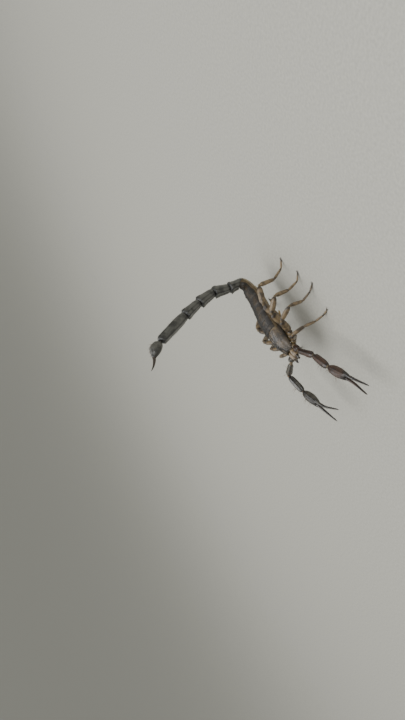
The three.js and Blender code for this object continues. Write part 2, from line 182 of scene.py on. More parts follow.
def smooth(places, values, where):
    """The cardinal spline through values at places, read at each of where."""
    places, values, where = (np.asarray(v, float) for v in (places, values, where))
    rows = values.reshape(len(places), -1)
    slopes = np.empty_like(rows)
    slopes[1:-1] = (rows[2:] - rows[:-2]) / (places[2:] - places[:-2])[:, None]
    slopes[0] = (rows[1] - rows[0]) / (places[1] - places[0])
    slopes[-1] = (rows[-1] - rows[-2]) / (places[-1] - places[-2])
    where = np.clip(where, places[0], places[-1])
    i = np.clip(np.searchsorted(places, where, side="right") - 1, 0, len(places) - 2)
    span = (places[i + 1] - places[i])[..., None]
    t = (where - places[i])[..., None] / span
    found = (
        rows[i] * (2 * t**3 - 3 * t**2 + 1) + slopes[i] * span * (t**3 - 2 * t**2 + t)
        + rows[i + 1] * (3 * t**2 - 2 * t**3) + slopes[i + 1] * span * (t**3 - t**2)
    )
    return found.reshape(where.shape + values.shape[1:])


def trunk(measure, y):
    return smooth(TRUNK_Y, TRUNK[measure], y)


STRAIGHT_BACK = bone((0, 1, 0), 0)
TAIL_BASE = np.array([0, TRUNK_Y[-1], TRUNK["axis"][-1]])
TAIL_MITRE = between(STRAIGHT_BACK, tail_bearing(TAIL[0][1]))
LEAN_START, LEAN = 22.5, 5.0


def trunk_outline(y, turn, lift=0.0):
    """The trunk's skin at y: turn is 0 on its right side and 90 on its back.

    Over the length LEAN, the upright cross-section leans into the tail's root."""
    y, turn, lift = np.broadcast_arrays(y, turn, lift)
    angle = np.radians(turn)
    across, rise = np.sign(np.cos(angle)) * np.abs(np.cos(angle)) ** 0.85, np.sin(angle)
    tall = np.where(rise > 0, trunk("back", y), trunk("belly", y))
    level = [-(trunk("width", y) + lift) * across, y, trunk("axis", y) + rise * (tall + lift)]
    leaning = (
        TAIL_BASE
        + TAIL_MITRE.side * ((TAIL_ROOT[0] + lift) * np.cos(angle))[..., None]
        + TAIL_MITRE.up * ((TAIL_ROOT[1] + lift) * rise)[..., None]
        - TAIL_MITRE.along * (TAIL_BASE[1] - y)[..., None]
    )
    turned = step((y - LEAN_START) / LEAN)[..., None]
    return np.stack(level, axis=-1) * (1 - turned) + leaning * turned


# ---- surfaces that a piece is made from ------------------------------------

MARKS = ("shade", "ridge")
NEAR, NEAR_TURN = 0.004, 1.0  # how far to each side a face is read to find its slope


class Face:
    """A surface with a point for each pair (a, b): a is 0 to 1 along it and b is
    degrees round it. A keel of height full_keel is marked as wholly ridge."""

    full_keel = 0.15

    def ahead(self, a, b):
        """Which way the surface runs towards its far end."""
        return self.surface(a + NEAR, b) - self.surface(a - NEAR, b)

    def outward(self, a, b):
        around = self.surface(a, b + NEAR_TURN) - self.surface(a, b - NEAR_TURN)
        return unit(np.cross(around, self.ahead(a, b)))

    def shade(self, a, b):
        """How dark the shell is here, from 0 to 1."""
        return np.zeros(np.broadcast(a, b).shape)

    def relief(self, a, b):
        """How far the surface is raised here."""
        return np.zeros(np.broadcast(a, b).shape)

    def ridge(self, a, b):
        return np.clip(self.relief(a, b) / self.full_keel, 0, 1)


class Segment(Face):
    """A shell swept through key rings: (centre, bearing, half width, half height).

    ridges are (turn, height, spread in degrees, growth towards the far end). A
    negative height is a groove. bands are (place, width, darkness) along it."""

    def __init__(self, keys, ridges=(), bands=()):
        steps = np.linalg.norm(np.diff([key[0] for key in keys], axis=0), axis=1)
        self.length = steps.sum()
        self.places = np.concatenate([[0.0], np.cumsum(steps)]) / self.length
        self.rows = np.array([[*centre, *lie.side, *lie.up, w, h] for centre, lie, w, h in keys])
        self.start, self.end = keys[0][1].along, keys[-1][1].along
        self.ridges, self.bands = ridges, bands

    def relief(self, a, b):
        total = super().relief(a, b)
        for turn, height, spread, growth in self.ridges:
            apart = (b - turn + 180) % 360 - 180
            swell = (1 - growth + growth * a) * step(a / 0.12) * step((1 - a) / 0.07)
            total = total + height * swell * bump(apart, spread)
        return total

    def shade(self, a, b):
        return super().shade(a, b) + sum(dark * bump(a - place, width) for place, width, dark in self.bands)

    def surface(self, a, b):
        a, b = np.broadcast_arrays(a, b)
        rows = smooth(self.places, self.rows, a)
        rise, angle = self.relief(a, b), np.radians(b)
        across = ((rows[..., 9] + rise) * np.cos(angle))[..., None]
        tall = ((rows[..., 10] + rise) * np.sin(angle))[..., None]
        return rows[..., 0:3] + unit(rows[..., 3:6]) * across + unit(rows[..., 6:9]) * tall


def rod(start, lie, stations, girth=1.0):
    """Key rings along a straight bone, from (distance, half width, half height)."""
    return [(start + lie.along * out, lie, w * girth, h * girth) for out, w, h in stations]


def quads(corners):
    """The faces of a grid of corners."""
    sides = [corners[:-1, :-1], corners[:-1, 1:], corners[1:, 1:], corners[1:, :-1]]
    return np.stack(sides, axis=-1).reshape(-1, 4)


def tube(face, rings, sides, domes=(0.15, 0.15)):
    """Shell of a Segment: its rings, each end closed with a low dome."""
    a, b = np.linspace(0, 1, rings)[:, None], np.linspace(0, 360, sides, endpoint=False)[None, :]
    body = face.surface(a, b)

    def dome(edge, out):
        """Two rings between the edge and the top of a dome, and its top."""
        middle = edge.mean(axis=0)
        return [middle + (edge - middle) * math.cos(t) + out * math.sin(t) for t in (0.5, 1.1)], middle + out

    near, first = dome(body[0], -face.start * domes[0])
    far, last = dome(body[-1], face.end * domes[1])
    points = np.concatenate([near[::-1], body, far]).reshape(-1, 3)
    corners = np.arange(len(points)).reshape(-1, sides)
    corners = np.hstack([corners, corners[:, :1]])
    fans = [(len(points), corners[0, i + 1], corners[0, i]) for i in range(sides)]
    fans += [(len(points) + 1, corners[-1, i], corners[-1, i + 1]) for i in range(sides)]
    marks = {}
    for key in MARKS:
        values = getattr(face, key)(a, b)
        spread = values[[0, 0, *range(rings), -1, -1]].ravel()
        marks[key] = np.append(spread, [values[0].mean(), values[-1].mean()])
    return np.concatenate([points, [first, last]]), quads(corners).tolist() + fans, marks


def slab(face, rows, columns, low, high, thickness):
    """Shell of an open plate, thin at its edges: outer face, inner face and rim."""
    a, b = np.linspace(0, 1, rows)[:, None], np.linspace(low, high, columns)[None, :]
    outer = face.surface(a, b)
    around, along = np.gradient(outer, axis=1), np.gradient(outer, axis=0)
    edge = np.minimum(np.minimum(a, 1 - a) / 0.05, np.minimum(b - low, high - b) / 4)
    inner = outer - unit(np.cross(around, along)) * (thickness * (0.35 + 0.65 * step(edge)))[..., None]
    corners, drop = np.arange(rows * columns).reshape(rows, columns), rows * columns
    top = quads(corners)
    loop = np.concatenate([corners[0, :-1], corners[:-1, -1], corners[-1, :0:-1], corners[:0:-1, 0]])
    after = np.roll(loop, -1)
    rim = np.stack([loop, loop + drop, after + drop, after], axis=-1)
    marks = {key: np.tile(getattr(face, key)(a, b).ravel(), 2) for key in MARKS}
    points = np.concatenate([outer, inner]).reshape(-1, 3)
    return points, np.concatenate([top, top[:, ::-1] + drop, rim]).tolist(), marks


def ball(centre, radius, rings, sides):
    """Shell of a sphere, for an eye."""
    lie = bone((1, 0, 0), 90)
    keys = [
        (centre + UP * (radius * math.sin(t)), lie, radius * math.cos(t), radius * math.cos(t))
        for t in np.linspace(-1.45, 1.45, rings)
    ]
    return tube(Segment(keys), rings * 2, sides, (radius * 0.007,) * 2)


def placed(name, data):
    """A new object in the scene."""
    obj = bpy.data.objects.new(name, data)
    bpy.context.scene.collection.objects.link(obj)
    return obj


def bare_mesh(name, points, faces=()):
    """A mesh in the frame's metres, from the animal's millimetres."""
    mesh = bpy.data.meshes.new(name)
    mesh.from_pydata(((points + ORIGIN) / 1000).tolist(), [], faces)
    return mesh


def settle(name, mesh, node=None):
    """An object that rides on the animal's body and may stand for a solid of it."""
    obj = placed(name, mesh)
    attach(obj, "root")
    if node:
        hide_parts(node)


def piece(name, shells, finish, node=None, crease=None):
    """One object from closed shells, sharp where faces meet at more than crease degrees."""
    faces, first = [], 0
    for points, corners, _ in shells:
        faces += [[first + i for i in face] for face in corners]
        first += len(points)
    mesh = bare_mesh(name, np.concatenate([points for points, _, _ in shells]), faces)
    for key in MARKS:
        values = np.concatenate([marks[key] for _, _, marks in shells])
        mesh.attributes.new(key, "FLOAT", "POINT").data.foreach_set("value", values)
    mesh.polygons.foreach_set("use_smooth", [True] * len(faces))
    if crease:
        mesh.set_sharp_from_angle(angle=math.radians(crease))
    mesh.materials.append(finish)
    settle(name, mesh, node)


soft_joints = {"trunk": [], "tail": [], "legs": [], "pincers": []}


def collar(place, joint, before, here, width, height, reach=0.6):
    """Soft skin that bridges the gap of a joint between two shells."""
    soft_joints[place].append(tube(Segment([
        *rod(joint, before, [(-reach, width, height), (-0.4 * reach, width, height)]),
        (joint, between(before, here), width * 0.96, height * 0.96),
        *rod(joint, here, [(0.4 * reach, width, height), (reach, width, height)]),
    ]), 14, 24, (0.05, 0.05)))


# ---- finishes --------------------------------------------------------------

FLECK_MEAN = 0.45  # what the flecks of a cuticle add on average
CLOUD_TONE = 0.62  # how much of its light a finish keeps where a cloud is deepest


def srgb(code):
    """Linear colour of an sRGB hex value."""
    parts = [int(code[i:i + 2], 16) / 255 for i in (1, 3, 5)]
    return tuple(c / 12.92 if c <= 0.04045 else ((c + 0.055) / 1.055) ** 2.4 for c in parts) + (1.0,)


def add(tree, kind, inputs=None, **settings):
    """Adds a node and gives its outputs. Each input is a value or the output that feeds it."""
    node = tree.nodes.new(kind)
    for key, value in settings.items():
        setattr(node, key, value)
    for key, value in (inputs or {}).items():
        if isinstance(value, bpy.types.NodeSocket):
            tree.links.new(value, node.inputs[key])
        else:
            node.inputs[key].default_value = value
    return node.outputs


def new_finish(name):
    """A material without a shader, its tree, and places on a piece in millimetres."""
    finish = bpy.data.materials.new(name)
    finish.use_nodes = True
    tree = finish.node_tree
    tree.nodes.clear()
    place = add(tree, "ShaderNodeTexCoord")["Object"]
    return finish, tree, add(tree, "ShaderNodeVectorMath", {0: place, "Scale": 1000.0}, operation="SCALE")[0]


def cuticle(name, shell, dark, pale, roughness=0.42, coat=0.25, blotch=2.6, marking=1.0):
    """Tanned chitin: a hard waxy shell, mottled by pigment under its surface.

    Blotches are `blotch` mm across, flecks 0.5 mm. The waxy top layer gives a
    soft gloss, broken by a net of cells 0.14 mm wide, coarser than the real ones
    so that it shows. Keels are darker. Chitin bends light by 1.56, its wax by 1.45."""
    finish, tree, place = new_finish(name)
    blotches = add(tree, "ShaderNodeTexNoise", {
        "Vector": place, "Scale": 1 / blotch, "Detail": 3.0, "Roughness": 0.55,
    })[0]
    flecks = add(tree, "ShaderNodeTexNoise", {
        "Vector": place, "Scale": 2.0, "Detail": 2.0, "Roughness": 0.6,
    })[0]
    cells = add(tree, "ShaderNodeTexVoronoi", {"Vector": place, "Scale": 7.0})["Distance"]
    marks, keels = (add(tree, "ShaderNodeAttribute", attribute_name=key)["Fac"] for key in MARKS)

    # Flecks darken and lighten by turns, so their mean is taken off again.
    ink = add(tree, "ShaderNodeMapRange", {
        0: blotches, 1: 0.42, 2: 0.66, 3: -FLECK_MEAN, 4: 0.85 - FLECK_MEAN,
    }, interpolation_type="SMOOTHSTEP")[0]
    for amount, weight in ((marks, marking), (keels, 0.7), (flecks, 0.9)):
        ink = add(tree, "ShaderNodeMath", {0: amount, 1: weight, 2: ink}, operation="MULTIPLY_ADD")[0]
    lightness = add(tree, "ShaderNodeMapRange", {0: flecks, 1: 0.5, 2: 0.75, 3: 0.0, 4: 0.7})[0]
    base = add(tree, "ShaderNodeMix", {0: lightness, 6: srgb(shell), 7: srgb(pale)}, data_type="RGBA")[2]
    colour = add(tree, "ShaderNodeMix", {0: ink, 6: base, 7: srgb(dark)}, data_type="RGBA")[2]
    dull = add(tree, "ShaderNodeMapRange", {
        0: flecks, 1: 0.3, 2: 0.7, 3: roughness - 0.07, 4: roughness + 0.12,
    })[0]
    net = add(tree, "ShaderNodeBump", {"Strength": 0.35, "Distance": 0.00004, "Height": cells})[0]
    dents = add(tree, "ShaderNodeBump", {
        "Strength": 0.5, "Distance": 0.00018, "Height": flecks, "Normal": net,
    })[0]
    shader = add(tree, "ShaderNodeBsdfPrincipled", {
        "Base Color": colour, "Roughness": dull, "IOR": 1.56, "Normal": dents,
        "Coat Weight": coat, "Coat Roughness": 0.22, "Coat IOR": 1.45,
    })[0]
    add(tree, "ShaderNodeOutputMaterial", {"Surface": shader})
    return finish


def smooth_finish(name, colour, roughness, ior=1.5, coat=0.0, wrinkle=0.0, weight=0.0):
    """A finish of one colour, clouded by a darker tone, with wrinkles `wrinkle` mm apart."""
    finish, tree, place = new_finish(name)
    cloud = add(tree, "ShaderNodeTexNoise", {"Vector": place, "Scale": 1.2, "Detail": 3.0})[0]
    light = srgb(colour)
    deep = (*(CLOUD_TONE * c for c in light[:3]), 1.0)
    tint = add(tree, "ShaderNodeMix", {0: cloud, 6: deep, 7: light}, data_type="RGBA")[2]
    inputs = {
        "Base Color": tint, "Roughness": roughness, "IOR": ior, "Coat Weight": coat,
        "Coat Roughness": 0.08, "Subsurface Weight": weight, "Subsurface Scale": 0.0006,
    }
    if wrinkle:
        folds = add(tree, "ShaderNodeTexNoise", {"Vector": place, "Scale": 1 / wrinkle, "Detail": 2.0})[0]
        inputs["Normal"] = add(tree, "ShaderNodeBump", {
            "Strength": 0.6, "Distance": 0.00012, "Height": folds,
        })[0]
    add(tree, "ShaderNodeOutputMaterial", {"Surface": add(tree, "ShaderNodeBsdfPrincipled", inputs)[0]})
    return finish


# Back plates: blackish brown shell with a darker middle, golden only in flecks.
BACK = cuticle("chitin_back_plates", "#31240f", "#110c05", "#533f20", 0.56, 0.05)
# Carapace: the same shell, thinner over the head and so a little paler.
SHIELD = cuticle("chitin_carapace", "#473a29", "#1a150f", "#6c5b3a", 0.46, 0.22)
# Belly plates: thinner shell, paler and smoother.
BELLY = cuticle("chitin_belly_plates", "#7d6b49", "#3f3424", "#9a8861", 0.36, 0.35)
# Tail rings: thick shell, blackened, with a grey sheen.
TAIL_SHELL = cuticle("chitin_tail_rings", "#4b4b46", "#181816", "#6f6e67", 0.4, 0.35, 2.6, 1.3)
# Left pincer: the pincers' shell, turned red brown by painted orange reflected light; both pincers are one
# colour in life.
PINCER_SHELL_PAINTED_WARM_LIGHT = cuticle("chitin_pincer_painted_warm_light", "#3c2618", "#190e09", "#563a29", 0.44, 0.22)
# Right pincer: the same shell, darker and greyer as painted shade.
PINCER_SHELL_PAINTED_SHADE = cuticle("chitin_pincer_painted_shade", "#423f37", "#1c1915", "#625e52", 0.38, 0.35)
# Legs: thin golden shell with dark blotches at the joints.
LEG_SHELL = cuticle("chitin_legs", "#78654a", "#2d2318", "#9c8a66", 0.42, 0.28, 1.8)
# Fingers, claws, teeth and sting: hardened shell, nearly black, polished by use.
HARD_TIP = cuticle("chitin_hardened_tips", "#2e241c", "#120e0c", "#4a3a2c", 0.24, 0.5)
# Eyes: a clear lens over black pigment, wet-looking.
EYE_LENS = smooth_finish("eye_lens", "#0b0a0a", 0.06, 1.56, 0.6)
# Combs: soft pale shell.
COMB_SHELL = smooth_finish("comb_cuticle", "#b59a6a", 0.5, 1.5, 0.0, 0.3)
# Joint skin: soft pleated membrane between the plates, dull and pale.
JOINT_SKIN = smooth_finish("joint_membrane", "#6f6048", 0.62, 1.45, 0.0, 0.35, 0.15)
# Joint skin of the tail: the same membrane, blackened like its rings.
DARK_SKIN = smooth_finish("joint_membrane_of_tail", "#3c3a30", 0.62, 1.45, 0.0, 0.35, 0.15)
# Bristles: stiff hollow hairs, red brown and shiny.
BRISTLE = smooth_finish("bristles", "#6d4a2c", 0.35, 1.55)

# ---- small things that repeat ----------------------------------------------


class Spots:
    """Places on the shell where grains or bristles grow."""

    def __init__(self):
        self.faces = []
        self.columns = {"spot": [], "lean": [], "lie": [], "root": [], "size": []}

    def on(self, face, a, b, size, lean=0.0):
        """At each (a, b) of face, standing out from it and leaning `lean` towards its far
        end, and short enough to stay above the floor."""
        a, b, size = (np.asarray(v, float).ravel() for v in np.broadcast_arrays(a, b, size))
        if face not in self.faces:
            self.faces.append(face)
        spot, along = face.surface(a, b), unit(face.ahead(a, b))
        way = unit(face.outward(a, b) + along * lean)
        room = (spot[:, 2] - FLOOR) / np.maximum(-way[:, 2], 0.05)
        size = np.minimum(size, np.maximum(0.8 * room, 0.02))
        root = np.stack([a, b, np.full(a.shape, self.faces.index(face))], axis=-1)
        for column, rows in zip(self.columns.values(), (spot, way, along, root, size)):
            column.append(rows)

    def flat_map(self, a, b, number):
        """Where each (a, b) lies on a square that holds one cell for each face.

        A cell is 480 degrees high, because some turns are counted past 360."""
        cells = math.ceil(math.sqrt(len(self.faces)))
        across = (number % cells + 0.05 + 0.9 * a) / cells
        down = (number // cells + 0.08 + b / 480) / cells
        return np.stack([across, down, 0 * a], axis=-1)


def grown(name, spots, tree, finish, **sizes):
    """A plain mesh of what the tree grows at each of the spots."""
    spot, lean, lie, root, size = (np.concatenate(rows) for rows in spots.columns.values())
    mesh = bare_mesh(name, spot)
    for key, values in (("size", size / 1000), ("ridge", np.ones(len(size)))):
        mesh.attributes.new(key, "FLOAT", "POINT").data.foreach_set("value", values)
    for key, values in (("lean", lean), ("lie", lie), ("root", spots.flat_map(*root.T))):
        mesh.attributes.new(key, "FLOAT_VECTOR", "POINT").data.foreach_set("vector", values.ravel())
    obj = placed(name + "_spots", mesh)
    modifier = obj.modifiers.new("grow", "NODES")
    modifier.node_group = tree
    inputs = {"Finish": finish, **sizes}
    for socket in tree.interface.items_tree:
        if socket.name in inputs:
            modifier[socket.identifier] = inputs[socket.name]
    graph = bpy.context.evaluated_depsgraph_get()
    made = bpy.data.meshes.new_from_object(
        obj.evaluated_get(graph), preserve_all_data_layers=True, depsgraph=graph,
    )
    bpy.data.objects.remove(obj)
    settle(name, made)


def growing_tree(name, shape, **sizes):
    """Node tree that sets one copy of a shape on each point.

    shape(tree, inputs) gives the shape, its flat map and its proportions. Each
    copy keeps a patch of the map 0.003 across, at its root's place on the shell."""
    tree = bpy.data.node_groups.new(name, "GeometryNodeTree")
    tree.interface.new_socket("Geometry", in_out="INPUT", socket_type="NodeSocketGeometry")
    for label, value in sizes.items():
        kind = "NodeSocketInt" if isinstance(value, int) else "NodeSocketFloat"
        tree.interface.new_socket(label, in_out="INPUT", socket_type=kind).default_value = value
    tree.interface.new_socket("Finish", in_out="INPUT", socket_type="NodeSocketMaterial")
    tree.interface.new_socket("Geometry", in_out="OUTPUT", socket_type="NodeSocketGeometry")
    inputs = add(tree, "NodeGroupInput")
    form, flat, proportions = shape(tree, inputs)
    patch = add(tree, "ShaderNodeVectorMath", {0: flat, "Scale": 0.003}, operation="SCALE")[0]
    form = add(tree, "GeometryNodeStoreNamedAttribute", {
        "Geometry": form, "Name": "OFBake", "Value": patch,
    }, data_type="FLOAT2", domain="CORNER")[0]
    lean, lie, root, kept = (
        add(tree, "GeometryNodeInputNamedAttribute", {"Name": key}, data_type="FLOAT_VECTOR")[0]
        for key in ("lean", "lie", "root", "OFBake")
    )
    size = add(tree, "GeometryNodeInputNamedAttribute", {"Name": "size"}, data_type="FLOAT")[0]
    scale = add(tree, "ShaderNodeVectorMath", {0: proportions, "Scale": size}, operation="SCALE")[0]
    upright = add(tree, "FunctionNodeAlignRotationToVector", {"Vector": lean}, axis="Z")[0]
    turned = add(tree, "FunctionNodeAlignRotationToVector", {
        "Rotation": upright, "Vector": lie,
    }, axis="X", pivot_axis="Z")[0]
    copies = add(tree, "GeometryNodeInstanceOnPoints", {
        "Points": inputs["Geometry"], "Instance": form, "Rotation": turned, "Scale": scale,
    })[0]
    real = add(tree, "GeometryNodeRealizeInstances", {"Geometry": copies})[0]
    spread = add(tree, "ShaderNodeVectorMath", {0: kept, 1: root})[0]
    mapped = add(tree, "GeometryNodeStoreNamedAttribute", {
        "Geometry": real, "Name": "OFBake", "Value": spread,
    }, data_type="FLOAT2", domain="CORNER")[0]
    rounded = add(tree, "GeometryNodeSetShadeSmooth", {"Geometry": mapped})[0]
    coated = add(tree, "GeometryNodeSetMaterial", {"Geometry": rounded, "Material": inputs["Finish"]})[0]
    add(tree, "NodeGroupOutput", {"Geometry": coated})
    return tree


def grain_shape(tree, inputs):
    """A low dome, drawn out to a blunt tooth by its height."""
    dome = add(tree, "GeometryNodeMeshUVSphere", {"Segments": inputs["Sides"], "Rings": 4, "Radius": 1.0})
    proportions = {0: inputs["Length"], 1: inputs["Width"], 2: inputs["Height"]}
    return dome["Mesh"], dome["UV Map"], add(tree, "ShaderNodeCombineXYZ", proportions)[0]


def bristle_shape(tree, inputs):
    """A spike about 1 long that droops towards the lie of the hairs and thins to an eighth."""
    bend = add(tree, "ShaderNodeCombineXYZ", {0: inputs["Droop"], 1: 0.0, 2: 0.92})[0]
    path = add(tree, "GeometryNodeCurveQuadraticBezier", {
        "Resolution": 3, "Start": (0.0, 0.0, 0.0), "Middle": (0.0, 0.0, 0.55), "End": bend,
    })[0]
    far = add(tree, "GeometryNodeSplineParameter")["Factor"]
    taper = add(tree, "ShaderNodeMapRange", {0: far, 3: 1.0, 4: 0.12})[0]
    girth = add(tree, "ShaderNodeMath", {0: taper, 1: inputs["Girth"]}, operation="MULTIPLY")[0]
    path = add(tree, "GeometryNodeStoreNamedAttribute", {
        "Geometry": path, "Name": "far", "Value": far,
    }, data_type="FLOAT", domain="POINT")[0]
    outline = add(tree, "GeometryNodeCurvePrimitiveCircle", {"Resolution": 3, "Radius": 1.0})[0]
    spike = add(tree, "GeometryNodeCurveToMesh", {
        "Curve": path, "Profile Curve": outline, "Scale": girth, "Fill Caps": True,
    })[0]
    reach = add(tree, "GeometryNodeInputNamedAttribute", {"Name": "far"}, data_type="FLOAT")[0]
    return spike, add(tree, "ShaderNodeCombineXYZ", {0: reach, 1: 0.5})[0], (1.0, 1.0, 1.0)


GRAINS = growing_tree("grains_on_shell", grain_shape, Width=1.0, Length=1.15, Height=0.8, Sides=6)
BRISTLES = growing_tree("bristles_on_shell", bristle_shape, Girth=0.03, Droop=0.35)

back_grains, tail_grains, leg_grains, grains_painted_warm_light, grains_painted_shade, teeth, hairs = (Spots() for _ in range(7))


def grain_rows(spots, face, turns, spacing, size, jitter=0.0, start=0.1, end=0.95):
    """Rows of grains along the keels at these turns, larger towards the far end."""
    count = max(int(face.length * (end - start) / spacing), 2)
    for turn in turns:
        a = np.linspace(start, end, count)
        wander = dice.normal(0, 1, count) * jitter
        spots.on(face, a, turn + wander, size * dice.uniform(0.75, 1.2, count) * (0.8 + 0.35 * a))


def scattered(spots, face, count, size, low=0.0, high=360.0, start=0.06, end=0.94, lean=0.0):
    """Grains or bristles strewn over part of a face."""
    a, b = dice.uniform(start, end, count), dice.uniform(low, high, count)
    spots.on(face, a, b, size * dice.uniform(0.6, 1.25, count), lean)


# ---- carapace and eyes -----------------------------------------------------

CARAPACE_LENGTH = CARAPACE_REAR - HALF_GAP - CARAPACE_FRONT
EYE_X, EYE_Y, EYE_RADIUS = 0.55, -0.9, 0.42


def lyre(y):
    """How far out the lyre-shaped pair of keels behind the eyes runs at y."""
    return 0.62 + 0.13 * (y - 1.4)


class Carapace(Face):
    """The shield over head and leg bases: b is 0 at its right edge, 90 on top."""

    full_keel = 0.3

    def place(self, a, b):
        """Where (a, b) lies across and along, how far the ends draw in, and its angle."""
        a, b = np.broadcast_arrays(a, b)
        y, angle = CARAPACE_FRONT + a * CARAPACE_LENGTH, np.radians(b)
        ends = 1 - 0.1 * bump(a, 0.035) - 0.03 * bump(a - 1, 0.05)
        x = -trunk("width", y) * ends * np.sign(np.cos(angle)) * np.abs(np.cos(angle)) ** 0.8
        return x, y + 0.5 * bump(x, 1.3) * np.clip(1 - a / 0.16, 0, 1), ends, angle

    def relief(self, a, b):
        x, y = self.place(a, b)[:2]
        across, behind = np.abs(x), y - EYE_Y
        tubercle = 0.4 * np.exp(-((x / 0.98) ** 2 + (behind / 1.25) ** 2) ** 1.6)
        brow = 0.1 * bump(across - 0.24, 0.16) * bump(behind, 0.9)
        groove = -0.17 * bump(x, 0.2) * step((np.abs(behind) - 0.8) / 0.9) * step((4.3 - y) / 0.5)
        arms = -0.2 * bump(across - 1.0 - 0.42 * (y - 0.8), 0.26) * step((y - 0.2) / 0.8)
        arms = arms * step((4.2 - y) / 0.6)
        crossing = -0.1 * bump(y - 3.55, 0.3) * bump(x, 1.6)
        keels = 0.13 * bump(across - lyre(y), 0.16) * step((y - 0.9) / 0.6) * step((4.3 - y) / 0.4)
        prow = 0.1 * bump(across - 0.75 - 0.12 * (EYE_Y - y), 0.18)
        prow = prow * step((-1.6 - y) / 0.6) * step((y + 4.4) / 0.4)
        hem = 0.07 * bump(y - 4.25, 0.12)
        return tubercle + brow + groove + arms + crossing + keels + prow + hem

    def surface(self, a, b):
        x, y, ends, angle = self.place(a, b)
        rise, top = self.relief(a, b), trunk("axis", y) + trunk("back", y)
        z = CARAPACE_EDGE + (top - CARAPACE_EDGE) * ends * np.sin(angle)
        return np.stack([x - rise * np.cos(angle) * 0.5, y, z + rise * np.sin(angle)], axis=-1)

    def shade(self, a, b):
        x, y = self.place(a, b)[:2]
        eyes = 0.8 * np.exp(-(x / 0.9) ** 2 - ((y - EYE_Y) / 1.1) ** 2)
        wedge = 0.75 * bump(np.abs(x) - 0.5 - 0.16 * (EYE_Y - y), 0.4) * step((-1.2 - y) / 1.5)
        arms = 0.7 * bump(np.abs(x) - 1.2 - 0.42 * (y - 0.8), 0.45) * step((y - 0.2) / 0.8)
        edge = 0.45 * bump(np.minimum(b, 180 - b), 16)
        return np.clip(eyes + wedge + arms + edge, 0, 1)


def build_carapace():
    """The shield with its grains and bristles, and the eyes on it."""
    shield = Carapace()
    piece("carapace_shield", [slab(shield, 90, 110, 0, 180, 0.2)], SHIELD, "carapace", 50)
    count = 620
    a, b = dice.uniform(0.03, 0.97, count), dice.uniform(6, 174, count)
    rough = 0.55 + 0.45 * shield.ridge(a, b) + 0.25 * dice.uniform(0, 1, count)
    back_grains.on(shield, a, b, 0.085 * rough)
    # Rows on each side along the edge, the lyre and the brow, then one along the rear edge.
    for side in (-1, 1):
        back_grains.on(shield, np.linspace(0.1, 0.97, 46), 90 - side * 87, 0.09)
        row = np.linspace(0.63, 0.96, 12)
        y = CARAPACE_FRONT + row * CARAPACE_LENGTH
        turn = np.degrees(np.arccos((lyre(y) / trunk("width", y)) ** 1.25))
        back_grains.on(shield, row, turn if side < 0 else 180 - turn, 0.12)
        back_grains.on(shield, np.linspace(0.3, 0.5, 8), 90 - side * 5.5, 0.09)
    back_grains.on(shield, 0.965, np.linspace(12, 168, 30), 0.1)
    scattered(hairs, shield, 26, 0.5, 10, 170, 0.02, 0.9, 0.5)

    height = float(trunk("axis", EYE_Y) + trunk("back", EYE_Y)) + 0.2
    for name, side in SIDES:
        gaze = bone((side, 0, 0), 60)
        lens = ball(np.array([side * EYE_X, EYE_Y, height]) - gaze.along * 0.06, EYE_RADIUS, 12, 28)
        piece(f"median_eye_lens_{name}", [lens], EYE_LENS, f"median_eye_{name}")
        row = ((0.03, 0.17), (0.07, 0.17), (0.115, 0.14))  # place along the edge, radius
        lenses = [ball(shield.surface(a, 90 - side * 72.0), radius, 8, 16) for a, radius in row]
        piece(f"lateral_eyes_{name}", lenses, EYE_LENS)


# ---- jaws ------------------------------------------------------------------

# Axis of a jaw: how far out, how far ahead of the carapace, and how high.
JAW_OUT, JAW_AHEAD, JAW_HEIGHT = 1.15, 0.3, 7.7


